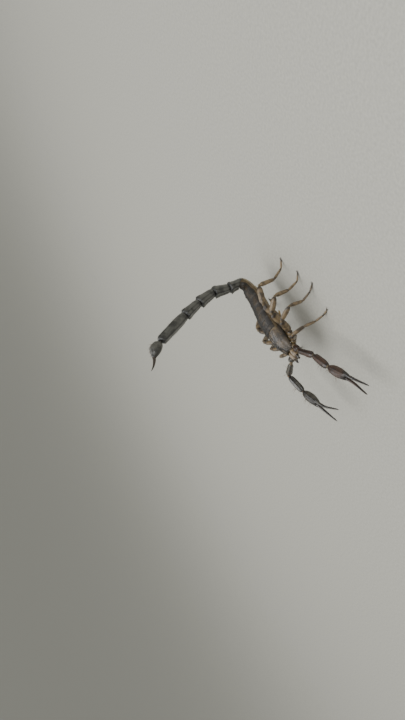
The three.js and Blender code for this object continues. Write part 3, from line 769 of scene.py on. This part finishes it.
def build_chelicera(name, side):
    """A jaw: a plump hand with its own finger, and a movable finger with two tips."""
    ahead = bone((0, -1, 0), 0)

    def part(rows, ridges=(), bands=()):
        """Each row is (distance ahead, inward, half width, half height, drop)."""
        start = CARAPACE_FRONT - JAW_AHEAD
        return Segment([
            ((side * (JAW_OUT - inward), start - out, JAW_HEIGHT - drop), ahead, w, h)
            for out, inward, w, h, drop in rows
        ], ridges, bands)

    hand = part([
        (-0.9, 0, 0.8, 0.9, -0.1), (0, 0, 0.88, 0.98, -0.14), (0.5, 0, 0.96, 1.05, -0.1),
        (1.4, 0, 0.93, 1.0, 0), (2.0, 0.04, 0.78, 0.84, 0), (2.35, 0.08, 0.6, 0.62, 0),
    ], [(90, 0.05, 16, 0.5), (90 + 55 * side, 0.05, 12, 0.4)], [(0.95, 0.12, 0.7)])
    fixed = part([
        (1.7, 0.3, 0.4, 0.44, 0), (2.3, 0.36, 0.3, 0.34, 0), (2.8, 0.4, 0.2, 0.24, 0),
        (3.15, 0.34, 0.12, 0.14, 0.06), (3.32, 0.22, 0.05, 0.06, 0.1),
    ], bands=[(0.5, 2.0, 0.5), (0.9, 0.3, 1.0)])
    movable = part([
        (2.0, -0.46, 0.3, 0.4, 0), (2.6, -0.56, 0.28, 0.36, 0), (3.1, -0.5, 0.2, 0.27, 0),
        (3.5, -0.3, 0.12, 0.15, 0.04), (3.72, -0.12, 0.05, 0.06, 0.08),
    ])
    lower = part([
        (2.9, -0.5, 0.16, 0.2, 0.1), (3.25, -0.42, 0.12, 0.13, 0.28), (3.5, -0.22, 0.04, 0.05, 0.36),
    ])
    shells = [tube(hand, 36, 40, (0.1, 0.25)), tube(fixed, 26, 20, (0.1, 0.03))]
    piece(f"chelicera_hand_{name}", shells, LEG_SHELL, f"chelicera_{name}")
    shells = [tube(movable, 26, 20, (0.08, 0.03)), tube(lower, 14, 14, (0.05, 0.02))]
    piece(f"chelicera_movable_finger_{name}", shells, HARD_TIP, f"chelicera_finger_{name}")
    inner = 0 if side > 0 else 180
    teeth.on(fixed, [0.35, 0.52, 0.68], inner, 0.14)
    teeth.on(movable, [0.4, 0.56, 0.72], 180 - inner, 0.15)
    scattered(hairs, hand, 26, 0.8, 200, 340, 0.3, 0.98, 1.2)
    scattered(hairs, hand, 12, 0.6, 30, 150, 0.3, 0.98, 1.0)


# ---- trunk plates ----------------------------------------------------------

FIRST_BELLY_PLATE, LAST_RING = 1, len(RING_LENGTHS) - 1
PAIRED_KEELS = (52, 70, 110, 128)


class TrunkPlate(Face):
    """A plate of the trunk from start to end: a back plate, or a belly plate."""

    full_keel = 0.14

    def __init__(self, number, start, end, belly=False):
        self.number, self.start, self.length, self.belly = number, start, end - start, belly

    def pits(self, a, b, width, spread):
        """The two breathing slits in a belly plate."""
        return sum(bump(a - 0.55, width) * bump(b - turn, spread) for turn in (227, 313))

    def relief(self, a, b):
        if self.belly:
            keels = sum(0.07 * bump(b - turn, 3.2) for turn in (238, 256, 284, 302))
            keels = keels * step((a - 0.1) / 0.3) * step((0.9 - a) / 0.1)
            dents = keels if self.number == LAST_RING else -0.14 * self.pits(a, b, 0.07, 5.0)
            return 0.03 * bump(a - 0.96, 0.03) + dents
        keel = 0.13 * bump(b - 90, 3.4) * step((a - 0.2) / 0.4)
        if self.number == LAST_RING:
            pairs = sum(0.12 * bump(b - turn, 3.2) for turn in PAIRED_KEELS)
            return (keel * step((0.5 - a) / 0.1) + pairs * step((a - 0.15) / 0.2)) * step((0.95 - a) / 0.1)
        return 0.07 * bump(a - 0.95, 0.045) + keel * step((1 - a) / 0.05)

    def surface(self, a, b):
        a, b = np.broadcast_arrays(a, b)
        middle = 270 if self.belly else 90
        b = middle + (b - middle) * (1 - 0.05 * step((a - 0.75) / 0.25))
        tucked = -0.2 * (1 - step(a / 0.28))
        return trunk_outline(self.start + a * self.length, b, tucked + self.relief(a, b))

    def shade(self, a, b):
        a, b = np.broadcast_arrays(a, b)
        if self.belly:
            slits = self.pits(a, b, 0.05, 4.0) * (self.number not in (FIRST_BELLY_PLATE, LAST_RING))
            return np.clip(1.3 * slits + 0.35 * step((a - 0.8) / 0.2), 0, 1)
        out = np.abs(b - 90)
        middle = 0.85 * bump(out, 11 + 5 * step((1 - a) / 0.6))
        sides = 0.7 * bump(out - 62, 13)
        hem = 0.5 * step((a - 0.86) / 0.1) + 0.35 * bump(a, 0.2)
        return np.clip(middle + sides + hem, 0, 1)


class SoftTrunk(Face):
    """The soft body inside the plates, bare and pleated along both flanks."""

    front, rear = -3.5, TRUNK_Y[-1] + 0.1
    start, end = STRAIGHT_BACK.along, TAIL_MITRE.along

    def surface(self, a, b):
        y = self.front + a * (self.rear - self.front)
        flank = bump(np.minimum(np.abs(b - 180), np.minimum(np.abs(b), np.abs(b - 360))), 22)
        pleats = 0.05 * np.sin(y * 11.4) + 0.03 * np.sin(y * 4.7 + b * 0.05)
        return trunk_outline(y, b, -0.3 + flank * (0.1 + pleats))


def build_trunk():
    """Seven back plates and six belly plates, from the carapace to the tail."""
    front = CARAPACE_REAR
    # Each plate starts tucked under the one before it, and the last ones stop short of the tail.
    for number, length in enumerate(RING_LENGTHS):
        start, end = front + HALF_GAP, front + length + 0.1
        node, last = f"mesosoma_{number + 1}", number == LAST_RING
        back = TrunkPlate(number, start - 0.45 * (number > 0), end - 0.25 * last)
        shell = slab(back, 22 + int(6 * length), 100, 11, 169, 0.13)
        piece(f"tergite_{number + 1}", [shell], BACK, node, 50)
        grains = int(70 + 26 * length)
        a, b = 1 - 0.8 * dice.uniform(0, 1, grains) ** 1.5, dice.uniform(15, 165, grains)
        back_grains.on(back, a * 0.97, b, 0.075 * dice.uniform(0.6, 1.3, grains))
        grain_rows(back_grains, back, PAIRED_KEELS if last else (90,), 0.34, 0.1, 0.3, 0.25, 0.93)
        back_grains.on(back, 0.955, np.linspace(16, 164, 44), 0.085)
        scattered(hairs, back, 8 + int(2 * length), 0.42, 14, 166, 0.4, 0.95, 0.8)
        if number >= FIRST_BELLY_PLATE:
            overlap = 0.3 * (number > FIRST_BELLY_PLATE)
            under = TrunkPlate(number, start - overlap, end - 0.2 * last, belly=True)
            shell = slab(under, 22 + int(6 * length), 90, 192, 348, 0.12)
            piece(f"sternite_{number + 1}", [shell], BELLY, node, 50)
            scattered(hairs, under, 10, 0.4, 200, 340, 0.3, 0.95, 0.8)
        front += length
    soft_joints["trunk"].append(tube(SoftTrunk(), 300, 72, (0.3, 0.1)))


# ---- underside of the front: leg bases, breastbone, covers and combs --------


def build_underside():
    """Leg bases that meet under the front of the trunk, the breastbone and the covers behind it."""
    shells = []

    def base(start, end, stations, rings, domes, ridges=(), bands=()):
        """A shell from start to end. Each station is (share of the way, half width, half height)."""
        lie = facing(unit(end - start), UP)
        face = Segment([(start * (1 - t) + end * t, lie, w, h) for t, w, h in stations], ridges, bands)
        shells.append(tube(face, rings, 36, domes))
        return face

    inner = [(1.0, -2.75, 5.95), (0.85, -1.55, 5.9), (0.8, -0.15, 5.85), (0.95, 1.35, 5.85)]
    for _, side in SIDES:
        flip = np.array([side, 1, 1])
        for (outer, _, _), near in zip(LEGS, inner):
            start, end = near * flip, outer * flip
            coxa = base(
                start, end + unit(end - start) * 0.25,
                [(0, 0.5, 0.62), (0.25, 0.66, 0.78), (0.6, 0.78, 0.88), (0.9, 0.8, 0.86), (1, 0.66, 0.7)],
                30, (0.25, 0.15), [(270, 0.05, 14, 0.3), (230, 0.05, 10, 0.5), (310, 0.05, 10, 0.5)],
                [(1.0, 0.12, 0.7)],
            )
            scattered(hairs, coxa, 12, 0.5, 200, 340, 0.1, 0.9, 0.6)
        coxa = base(
            np.array([0.95, -3.4, 6.35]) * flip, PEDIPALP_BASE * flip,
            [(0, 0.6, 0.62), (0.4, 0.86, 0.88), (0.8, 0.92, 0.92), (1, 0.74, 0.76)],
            26, (0.3, 0.2), bands=[(1.0, 0.2, 0.7)],
        )
        scattered(hairs, coxa, 18, 0.6, 200, 340, 0.1, 0.95, 0.8)
    piece("leg_bases", shells, BELLY, "coxosternum")

    def plate(rows, ridges=()):
        """A level plate from rows (x, y, z, half width, half height)."""
        return tube(Segment([(row[:3], STRAIGHT_BACK, *row[3:]) for row in rows], ridges), 18, 32)

    breastbone = plate([
        (0, 2.1, 5.55, 0.2, 0.2), (0, 2.8, 5.5, 0.5, 0.28), (0, 3.9, 5.45, 0.8, 0.3), (0, 4.4, 5.5, 0.7, 0.2),
    ], [(270, -0.1, 16, 0.8)])
    covers = [
        plate([
            (side * 0.5, 4.6, 5.5, 0.38, 0.2), (side * 0.52, 5.0, 5.5, 0.5, 0.3),
            (side * 0.46, 5.5, 5.55, 0.36, 0.22),
        ])
        for side in (-1, 1)
    ]
    bridge = plate([(0, 5.55, 5.5, 0.7, 0.2), (0, 6.1, 5.45, 0.95, 0.32), (0, 6.7, 5.55, 0.7, 0.24)])
    piece("breastbone_and_covers", [breastbone, *covers, bridge], BELLY)


def build_comb(name, side):
    """A comb: a jointed bar, beads behind it and a row of flat teeth."""
    sweep, length, tooth_count = math.radians(32), 5.2, 21
    lie = bearing(np.array([side * math.cos(sweep), math.sin(sweep), 0]), UP)
    rearward = lie.side * side
    start = np.array([side * 0.75, 5.7, 5.15])
    shells = []
    for count, offset, width, height, rings in ((3, -0.18, 0.3, 0.26, 10), (7, 0.12, 0.16, 0.2, 6)):
        line = start + rearward * offset
        for k in range(count):
            bead = Segment([
                (line + lie.along * (length * t), lie, width * (1 - 0.35 * t), height * (1 - 0.3 * t))
                for t in np.linspace(k / count + 0.01, (k + 1) / count - 0.01, 4)
            ])
            shells.append(tube(bead, rings, 14, (0.08, 0.08)))
    slant = bearing(unit(rearward + lie.along * 0.25), UP)
    for k in range(tooth_count):
        t = (k + 0.5) / tooth_count
        root, size = start + lie.along * (length * t) + rearward * 0.26, 1 - 0.3 * t
        tooth = rod(root, slant, [(0, 0.1, 0.12), (0.25 * size, 0.115, 0.14), (0.48 * size, 0.09, 0.1)])
        shells.append(tube(Segment(tooth), 6, 10, (0.03, 0.08)))
    piece(f"comb_{name}", shells, COMB_SHELL, f"pecten_{name}")


# ---- tail ------------------------------------------------------------------

TAIL_KEELS, FIFTH_KEELS = (52, 128, 14, 166, 228, 312, 256, 284), (50, 130, 222, 270, 318)


def build_tail():
    """Five rings with grained keels, and a groove along the back of each."""
    bearings = [tail_bearing(row[1]) for row in (*TAIL, VESICLE)]
    joint, before = TAIL_BASE, STRAIGHT_BACK
    profiles = [  # of each ring: share of its length, of its width, of its height
        [(0.42, 0.88, 0.9), (0.66, 0.92, 0.95), (0.9, 1.03, 1.08)],
        *[[(0.1, 0.82, 0.82), (0.3, 0.86, 0.88), (0.62, 0.92, 0.95), (0.88, 1.03, 1.08)]] * 3,
        [(0.06, 0.88, 0.88), (0.3, 1, 1), (0.68, 0.93, 0.95), (0.9, 0.87, 0.91), (0.965, 0.76, 0.8)],
    ]
    for number, (length, _, width, height) in enumerate(TAIL):
        here, leave = bearings[number], between(bearings[number], bearings[number + 1])
        enter, size = between(before, here), (width * 0.74, height * 0.74) if number else TAIL_ROOT
        keels, groove, closing, rings, grains, bristles = TAIL_KEELS, -0.34, (0.84, 0.86), 70, 60, 16
        if number == len(TAIL) - 1:
            keels, groove, closing, rings, grains, bristles = FIFTH_KEELS, -0.22, (0.56, 0.6), 110, 110, 34
        end = joint + here.along * length
        ring = Segment([
            (joint + enter.along * (HALF_GAP - 0.1), enter, *size),
            *[(joint + here.along * t * length, here, width * w, height * h) for t, w, h in profiles[number]],
            (end - leave.along * HALF_GAP, leave, width * closing[0], height * closing[1]),
        ], [
            *[(turn, 0.16 if turn < 180 else 0.11, 7.5, 0.5) for turn in keels], (90, groove, 20, 0.1),
        ], [(1.0, 0.08, 0.6), (0.0, 0.08, 0.4)])
        shell = tube(ring, rings, 96, (0.1, 0.22))
        piece(f"tail_ring_{number + 1}", [shell], TAIL_SHELL, f"metasoma_{number + 1}")
        grain_rows(tail_grains, ring, [k for k in keels if k < 180], 0.36, 0.12, 0.6, 0.14, 0.93)
        grain_rows(tail_grains, ring, [k for k in keels if k >= 180], 0.34, 0.09, 0.6, 0.14, 0.93)
        tail_grains.on(ring, 0.93, keels[:2], 0.21)
        scattered(tail_grains, ring, grains, 0.055)
        scattered(hairs, ring, bristles, 0.8, lean=0.5)
        if number:
            collar("tail", joint, before, here, width * 0.66, height * 0.66)
        joint, before = end, here
    build_sting(joint, before)


def build_sting(joint, before):
    """The bulb, fuller on its outer side, with a small tooth under the sting."""
    length, pitch, width, height = VESICLE
    here = tail_bearing(pitch)
    enter = between(before, here)
    profile = (  # share of the length, of the width, of the height
        (0.08, 0.52, 0.5), (0.2, 0.84, 0.82), (0.36, 1, 0.99), (0.56, 0.99, 1), (0.76, 0.76, 0.76),
        (0.9, 0.5, 0.49), (1.0, 0.37, 0.36),
    )
    keys = [(joint + enter.along * HALF_GAP, enter, 0.72, 0.8)]
    for t, w, h in profile:
        centre = joint + here.along * (t * length) - here.up * (0.5 * math.sin(math.pi * t))
        keys.append((centre, here, width * w, height * h))
    keels = [(270, 0.09, 9, 0.0), (225, 0.06, 9, 0.0), (315, 0.06, 9, 0.0)]
    bulb = Segment(keys, keels, [(1.0, 0.12, 0.8), (0.0, 0.06, 0.6)])
    collar("tail", joint, before, here, 0.66, 0.72, 0.5)
    root = joint + here.along * (length * 0.8) - here.up * 1.35
    slant, steeper = (bearing(unit(here.along * share - here.up), here.up) for share in (0.7, 1.0))
    tooth = Segment([
        (root + here.up * 0.5, slant, 0.3, 0.3), (root + here.along * 0.12, slant, 0.17, 0.17),
        (root + here.along * 0.35 - here.up * 0.3, steeper, 0.05, 0.05),
    ])
    shells = [tube(bulb, 90, 80, (0.1, 0.12)), tube(tooth, 14, 18, (0.05, 0.03))]
    piece("vesicle_bulb", shells, TAIL_SHELL, "vesicle")
    grain_rows(tail_grains, bulb, (270, 225, 315, 200, 340), 0.45, 0.085, 2.0, 0.15, 0.85)
    scattered(tail_grains, bulb, 60, 0.06, 180, 360)
    scattered(hairs, bulb, 60, 0.9, 150, 390, 0.15, 0.95, 0.5)

    steps, keys, point = 12, [], joint + here.along * (length - 0.1)
    for k in range(steps + 1):
        t = k / steps
        bend = tail_bearing(STING["pitch"] - STING["curl"] * t)
        radius = STING["root"] * (1 - t) ** 0.8 + STING["tip"] * t
        keys.append((point, bend, radius, radius))
        point = point + bend.along * (STING["length"] / steps)
    piece("sting", [tube(Segment(keys), 60, 32, (0.02, 0.04))], HARD_TIP, "aculeus")


# ---- pincers ---------------------------------------------------------------

FEELER_SECTOR = (40, 140)  # degrees round a segment where the long sensing hairs stand
ROOT_INSIDE = 0.9  # how far a finger's root reaches back into the hand


def finger_keys(start, leave, arrive, reach, curl, side):
    """Rings of a finger that turns from one bearing to another and hooks inward."""
    steps, keys, point = 14, [], start - leave.along * ROOT_INSIDE
    for k in range(steps + 1):
        t = k / steps
        turned = min(2 * t, 1)
        along = unit(leave.along + (arrive.along - leave.along) * turned)
        along = unit(along + leave.side * (curl * side * step((t - 0.75) / 0.25)))
        radius = FINGER_ROOT + (FINGER_TIP - FINGER_ROOT) * t
        flare, tip = 0.35 * (1 - step(t / 0.16)), 1 - 0.6 * step((t - 0.9) / 0.1)
        lie = facing(along, leave.up + (arrive.up - leave.up) * turned)
        keys.append((point, lie, (radius * 0.92 + flare) * tip, (radius * 1.08 + flare) * tip))
        point = point + along * ((PEDIPALP["finger"] * reach + ROOT_INSIDE) / steps)
    return keys


def build_pedipalp(name, side):
    """A pincer: three segments of the arm, the hand and its two fingers."""
    # The left pincer takes the shell with painted reflected light, the right one the shell with painted
    # shade.
    shell, grains = (PINCER_SHELL_PAINTED_WARM_LIGHT, grains_painted_warm_light) if side > 0 else (PINCER_SHELL_PAINTED_SHADE, grains_painted_shade)
    lies = {}
    for key, (yaw, rise) in PEDIPALP_POSE[name].items():
        yaw = math.radians(yaw)
        lies[key] = bone((side * math.sin(yaw), -math.cos(yaw), 0), rise)
    arms = (  # name, bluntness of the far end, rings, keels, shape
        ("trochanter", 0.6, 30, (55, 125, 235, 305),
         [(0, 0.7, 0.7), (0.35, 0.95, 0.95), (0.75, 0.95, 0.95), (1, 0.68, 0.68)]),
        ("femur", 0.5, 70, (48, 132, 228, 312, 0),
         [(0, 0.58, 0.58), (0.1, 0.78, 0.76), (0.45, 0.86, 0.84), (0.85, 0.96, 0.92), (1, 0.62, 0.62)]),
        ("patella", 0.5, 70, (40, 90, 140, 220, 270, 320, 180 if side > 0 else 0),
         [(0, 0.58, 0.58), (0.12, 0.94, 0.92), (0.42, 1.1, 1.06), (0.82, 1.02, 1.0), (1, 0.62, 0.62)]),
    )
    joint, lie, near = PEDIPALP_BASE * np.array([side, 1, 1]), lies["trochanter"], 0.2
    collar("pincers", joint, lie, lie, 0.6, 0.6, 0.5)
    for (label, blunt, rings, keels, shape), beyond in zip(arms, ("femur", "patella", "manus")):
        length, after = PEDIPALP[label], lies[beyond]
        straight = length - near - set_back(lie, after, blunt)
        keys = rod(joint, lie, [(near + t * straight, w, h) for t, w, h in shape])
        face = Segment(keys, [(k, 0.13, 8, 0.2) for k in keels], [(1.0, 0.1, 0.7), (0.0, 0.08, 0.6)])
        shells = [tube(face, rings, 72, (0.2, 0.2))]
        piece(f"pincer_{label}_{name}", shells, shell, f"pedipalp_{label}_{name}")
        grain_rows(grains, face, keels, 0.32, 0.095, 0.8, 0.1, 0.92)
        scattered(grains, face, int(9 * length), 0.055)
        scattered(hairs, face, int(4.5 * length), 0.75, lean=0.6)
        scattered(hairs, face, int(0.6 * length), 1.8, *FEELER_SECTOR, 0.12, 0.88)
        joint = joint + lie.along * length
        collar("pincers", joint, lie, after, 0.52, 0.52, 0.7)
        near, lie = set_back(lie, after, 0.5), after

    # The hand carries the inner finger. The outer finger is hinged beside it.
    palm_keels = (30, 62, 98, 150, 210, 270, 330)
    palm = Segment(rod(joint, lie, [
        (near - 0.05, 0.56, 0.56), (0.75, 0.9, 0.94), (1.6, 1.28, 1.32), (3.0, 1.52, 1.56),
        (4.6, 1.48, 1.52), (5.8, 1.28, 1.3), (PEDIPALP["manus"] + 0.1, 1.02, 1.04),
    ]), [(k, 0.07, 7, 0.1) for k in palm_keels], [(0.0, 0.08, 0.6), (1.0, 0.14, 0.6)])
    knuckle, inward = joint + lie.along * PEDIPALP["manus"], lie.side * -side
    bands = [(1.0, 0.5, 0.9), (0.3, 0.4, 0.35)]
    start = knuckle + inward * 0.62 + lie.along * 0.35
    fixed = Segment(finger_keys(start, lie, lies["fixed"], 1, 0.12, side), bands=bands)
    start = knuckle - inward * 0.7 + lie.along * 0.55
    movable = Segment(finger_keys(start, lie, lies["movable"], 0.97, -0.12, side), bands=bands)
    shells = [tube(palm, 70, 80, (0.15, 0.25)), tube(fixed, 90, 36, (0.1, 0.08))]
    piece(f"pincer_hand_{name}", shells, shell, f"pedipalp_manus_{name}")
    shells = [tube(movable, 90, 36, (0.2, 0.08))]
    piece(f"pincer_movable_finger_{name}", shells, HARD_TIP, f"pedipalp_movable_finger_{name}")
    grain_rows(grains, palm, palm_keels, 0.42, 0.07, 0.8, 0.1, 0.9)
    scattered(hairs, palm, 46, 0.8, lean=0.7)
    scattered(hairs, palm, 9, 2.0, *FEELER_SECTOR, 0.12, 0.8)
    for finger in (fixed, movable):
        scattered(hairs, finger, 26, 0.55, lean=0.8, start=0.15)
    gap = 180 if side > 0 else 0
    for finger, edge in ((fixed, gap), (movable, 180 - gap)):
        row = np.linspace(0.22, 0.95, 74)
        slant = 7 * (((row - 0.22) * 11) % 1 - 0.5)
        teeth.on(finger, row, edge + slant, 0.06)
        for offset in (-22, 22):
            teeth.on(finger, np.linspace(0.25, 0.95, 9), edge + offset, 0.085)


# ---- legs ------------------------------------------------------------------


def hook(path, radii):
    """Shell of a curved spike through the points of path, dark all over."""
    path, level = np.array(path), np.array([0.31, 0.17, 0.93])
    ways = unit(np.gradient(path, axis=0))
    keys = [(point, facing(way, level), radius, radius) for point, way, radius in zip(path, ways, radii)]
    points, faces, marks = tube(Segment(keys), 12, 10, (radii[0] * 0.4, radii[-1]))
    return points, faces, {**marks, "shade": np.ones(len(points))}


def build_leg(name, side, number):
    """A leg of six segments in three pieces, the last one on the floor."""
    start, girth, lengths = LEGS[number]
    yaws, rises = LEG_POSE[name][number]
    levels = [np.array([side * math.cos(yaw), math.sin(yaw), 0]) for yaw in np.radians(yaws)]
    lies = [bone(level, rise) for level, rise in zip(levels, rises)]
    joints = [start * np.array([side, 1, 1])]
    for lie, length in zip(lies, lengths):
        joints.append(joints[-1] + lie.along * length)
    drop = (FLOOR + FOOT_HEIGHT - joints[5][2]) / lengths[5]
    ahead = levels[4]
    lies.append(bone(ahead, math.degrees(math.asin(drop))))
    tip = joints[5] + lies[5].along * lengths[5]

    def part(index, stations, ridges=(), bands=(), rings=34, sides=36, domes=(0.12, 0.14)):
        face = Segment(rod(joints[index], lies[index], stations, girth), ridges, bands)
        return face, tube(face, rings, sides, domes)

    def leg_piece(label, shells, node):
        piece(f"leg_{number + 1}_{label}_{name}", shells, LEG_SHELL, f"leg_{number + 1}_{node}_{name}")

    blunt = ((1, 0.42), (2, 0.36), (3, 0.28), (4, 0.24))
    knee, shin, heel, toe = (set_back(lies[i], lies[i + 1], radius * girth) for i, radius in blunt)
    hip, thigh, calf, shank, foot, tarsus = lengths
    dark_ends = [(0.97, 0.14, 0.9), (0.03, 0.08, 0.6)]

    _, hip_shell = part(0, [
        (0.3, 0.64, 0.64), (hip * 0.45, 0.82, 0.86), (hip * 0.8, 0.8, 0.86), (hip + 0.02, 0.58, 0.68),
    ], [(270, 0.06, 14, 0)], [(1.0, 0.2, 0.8)], 20)
    femur, thigh_shell = part(1, [
        (0.12, 0.54, 0.62), (thigh * 0.14, 0.66, 0.98), (thigh * 0.4, 0.71, 1.12), (thigh * 0.75, 0.71, 1.1),
        (thigh - knee - 0.5, 0.66, 0.94), (thigh - knee + 0.04, 0.52, 0.56),
    ], [(90, 0.09, 16, 0.2), (270, 0.09, 16, 0.2), (20, 0.05, 12, 0.2), (160, 0.05, 12, 0.2)], dark_ends, 46)
    leg_piece("thigh", [hip_shell, thigh_shell], "femur")
    patella, calf_shell = part(2, [
        (knee - 0.04, 0.5, 0.52), (knee + calf * 0.14, 0.64, 0.92), (calf * 0.55, 0.65, 0.99),
        (calf * 0.82, 0.58, 0.8), (calf - shin + 0.04, 0.44, 0.48),
    ], [(90, 0.08, 16, 0.1), (270, 0.07, 16, 0.1), (25, 0.04, 10, 0), (155, 0.04, 10, 0)], dark_ends, 42)
    leg_piece("calf", [calf_shell], "patella")
    tibia, shank_shell = part(3, [
        (shin - 0.04, 0.41, 0.46), (shin + shank * 0.12, 0.51, 0.66), (shank * 0.5, 0.49, 0.64),
        (shank * 0.85, 0.43, 0.54), (shank - heel + 0.03, 0.36, 0.42),
    ], [(90, 0.05, 18, 0), (270, 0.04, 18, 0)], [(1.0, 0.1, 0.7)], 34, 30)
    basitarsus, foot_shell = part(4, [
        (heel - 0.04, 0.32, 0.38), (heel + foot * 0.1, 0.37, 0.43), (foot * 0.6, 0.34, 0.39),
        (foot - toe + 0.03, 0.29, 0.32),
    ], (), [(1.0, 0.12, 0.7)], 28, 26)
    telotarsus, toe_shell = part(5, [
        (toe - 0.03, 0.26, 0.28), (toe + tarsus * 0.12, 0.31, 0.32), (tarsus * 0.6, 0.29, 0.29),
        (tarsus - 0.12, 0.21, 0.21),
    ], (), [(1.0, 0.15, 0.8)], 26, 24, (0.08, 0.12))
    shells = [shank_shell, foot_shell, toe_shell]

    # Two claws spread at the tip and turn down to the floor, with spurs above.
    sideways, spur = np.cross(UP, ahead), joints[5] - lies[4].along * 0.15
    for splay in (-1, 1):
        claw = ((0.12, 0.1, 0.06), (0.42, 0.24, 0.1), (0.68, 0.34, -0.02), (0.78, 0.37, -0.17))
        path = [tip + ahead * out + sideways * (wide * splay) + UP * rise for out, wide, rise in claw]
        shells.append(hook([tip - lies[5].along * 0.25, *path], (0.13, 0.12, 0.09, 0.06, 0.025)))
        out = unit(sideways * splay + lies[5].along * 0.9)
        path = [spur, spur + out * 0.3, spur + out * 0.52 + lies[5].along * 0.08]
        shells.append(hook(path, (0.1, 0.07, 0.02)))
    leg_piece("foot_shells", shells, "foot")

    collar("legs", joints[0] + lies[0].along * 0.1, lies[0], lies[0], 0.56 * girth, 0.56 * girth)
    for index, radius in ((1, 0.5), (2, 0.42), (3, 0.36), (4, 0.27), (5, 0.22)):
        collar("legs", joints[index], lies[index - 1], lies[index], radius * girth, radius * girth, 0.5)
    for face in (femur, patella):
        grain_rows(leg_grains, face, (90, 270, 250, 290), 0.3, 0.065, 1.0, 0.12, 0.9)
        scattered(hairs, face, int(3 * face.length), 0.55, lean=0.7)
    for face in (tibia, basitarsus, telotarsus):
        rows = int(face.length / 0.42)
        for turn in (250, 290):
            hairs.on(face, np.linspace(0.12, 0.95, rows), turn, 0.5 * dice.uniform(0.8, 1.2, rows), 0.9)
        scattered(hairs, face, int(4 * face.length), 0.5, lean=0.9)


# ---- assembly --------------------------------------------------------------

build_carapace()
build_trunk()
build_underside()
build_tail()
for side_name, side_sign in SIDES:
    build_chelicera(side_name, side_sign)
    build_comb(side_name, side_sign)
    build_pedipalp(side_name, side_sign)
    for leg_number in range(len(LEGS)):
        build_leg(side_name, side_sign, leg_number)

for soft_place, soft_shells in soft_joints.items():
    piece(f"joint_skin_{soft_place}", soft_shells, DARK_SKIN if soft_place == "tail" else JOINT_SKIN)

grown("back_grains", back_grains, GRAINS, BACK)
grown("tail_grains", tail_grains, GRAINS, TAIL_SHELL)
grown("leg_grains", leg_grains, GRAINS, LEG_SHELL)
# Grains of the left pincer carry its painted reflected light, those of the right pincer its painted shade.
grown("pincer_grains_left", grains_painted_warm_light, GRAINS, PINCER_SHELL_PAINTED_WARM_LIGHT)
grown("pincer_grains_right", grains_painted_shade, GRAINS, PINCER_SHELL_PAINTED_SHADE)
grown("teeth", teeth, GRAINS, HARD_TIP, Width=0.7, Length=1.0, Height=1.5)
grown("bristles", hairs, BRISTLES, BRISTLE)

# ---- floor, light and camera -----------------------------------------------


def build_stage():
    """A round floor that rises slowly into a wide dish, under an even sky and two softboxes."""
    sides, inner, outer, level, steepening = 96, 0.3, 3.5, 0.35, 0.16
    turn = np.linspace(0, 2 * math.pi, sides, endpoint=False)
    sweep = [(r, steepening * max(r - level, 0) ** 2) for r in np.linspace(inner, outer, 33)]
    rings = [np.stack([r * np.cos(turn), r * np.sin(turn), np.full(sides, z)], axis=-1) for r, z in sweep]
    corners = np.arange(len(rings) * sides).reshape(-1, sides)
    wall = quads(np.hstack([corners, corners[:, :1]]))[:, ::-1]
    mesh = bpy.data.meshes.new("floor")
    mesh.from_pydata(np.concatenate(rings).tolist(), [], [corners[0].tolist(), *wall.tolist()])
    mesh.polygons.foreach_set("use_smooth", [False] + [True] * len(wall))
    # Floor: matt pale lacquer.
    mesh.materials.append(smooth_finish("floor_lacquer", "#bab8ae", 0.6))
    placed("floor", mesh)

    world = bpy.data.worlds.new("studio")
    world.use_nodes = True
    sky = world.node_tree.nodes["Background"]
    sky.inputs[0].default_value = srgb("#d9dbd8")
    sky.inputs[1].default_value = 0.8
    bpy.context.scene.world = world

    softboxes = (  # place, power, size
        ((-0.05, 0.1, 0.6), 3.4, 0.5),
        ((0.58, -0.15, 0.42), 2.8, 0.4),
    )
    for place, power, size in softboxes:
        light = bpy.data.lights.new("softbox", "AREA")
        light.energy, light.size = power, size
        box = placed("softbox", light)
        box.location = place
        box.rotation_mode = "QUATERNION"
        box.rotation_quaternion = (-Vector(place)).to_track_quat("-Z", "Y")


def build_camera():
    """Looks at the trunk from its left and slightly ahead, from above and rolled.

    The focal length and the target's place are in pixels of a frame 405 wide and
    720 high, and the distance in millimetres."""
    focal, width, height = 620.0, 405.0, 720.0
    target, seen_at, distance = UP * 8.0, (284.0, 342.0), 205.0
    turn, elevation, roll = math.radians(25.1), 22.0, math.radians(-54.2)
    back = bone((math.cos(turn), -math.sin(turn), 0), elevation).along
    nose = facing(back, np.array([0, -1.0, 0])).up
    square = np.cross(back, nose)
    right = math.cos(roll) * nose - math.sin(roll) * square
    up = math.sin(roll) * nose + math.cos(roll) * square
    across, down = seen_at[0] - width / 2, seen_at[1] - height / 2
    ahead = unit(-back * focal - across * right + down * up)
    right = unit(right - ahead * right.dot(ahead))
    up = np.cross(right, ahead)
    camera = bpy.data.cameras.new("camera")
    camera.sensor_width = 36.0
    camera.lens = focal / height * camera.sensor_width
    camera.clip_start, camera.clip_end = 0.01, 20.0
    stand = placed("camera", camera)
    place = (target + back * distance + ORIGIN) / 1000
    turned = np.stack([right, up, -ahead, place], axis=1)
    stand.matrix_world = Matrix([*turned.tolist(), [0, 0, 0, 1]])
    bpy.context.scene.camera = stand


build_stage()
build_camera()
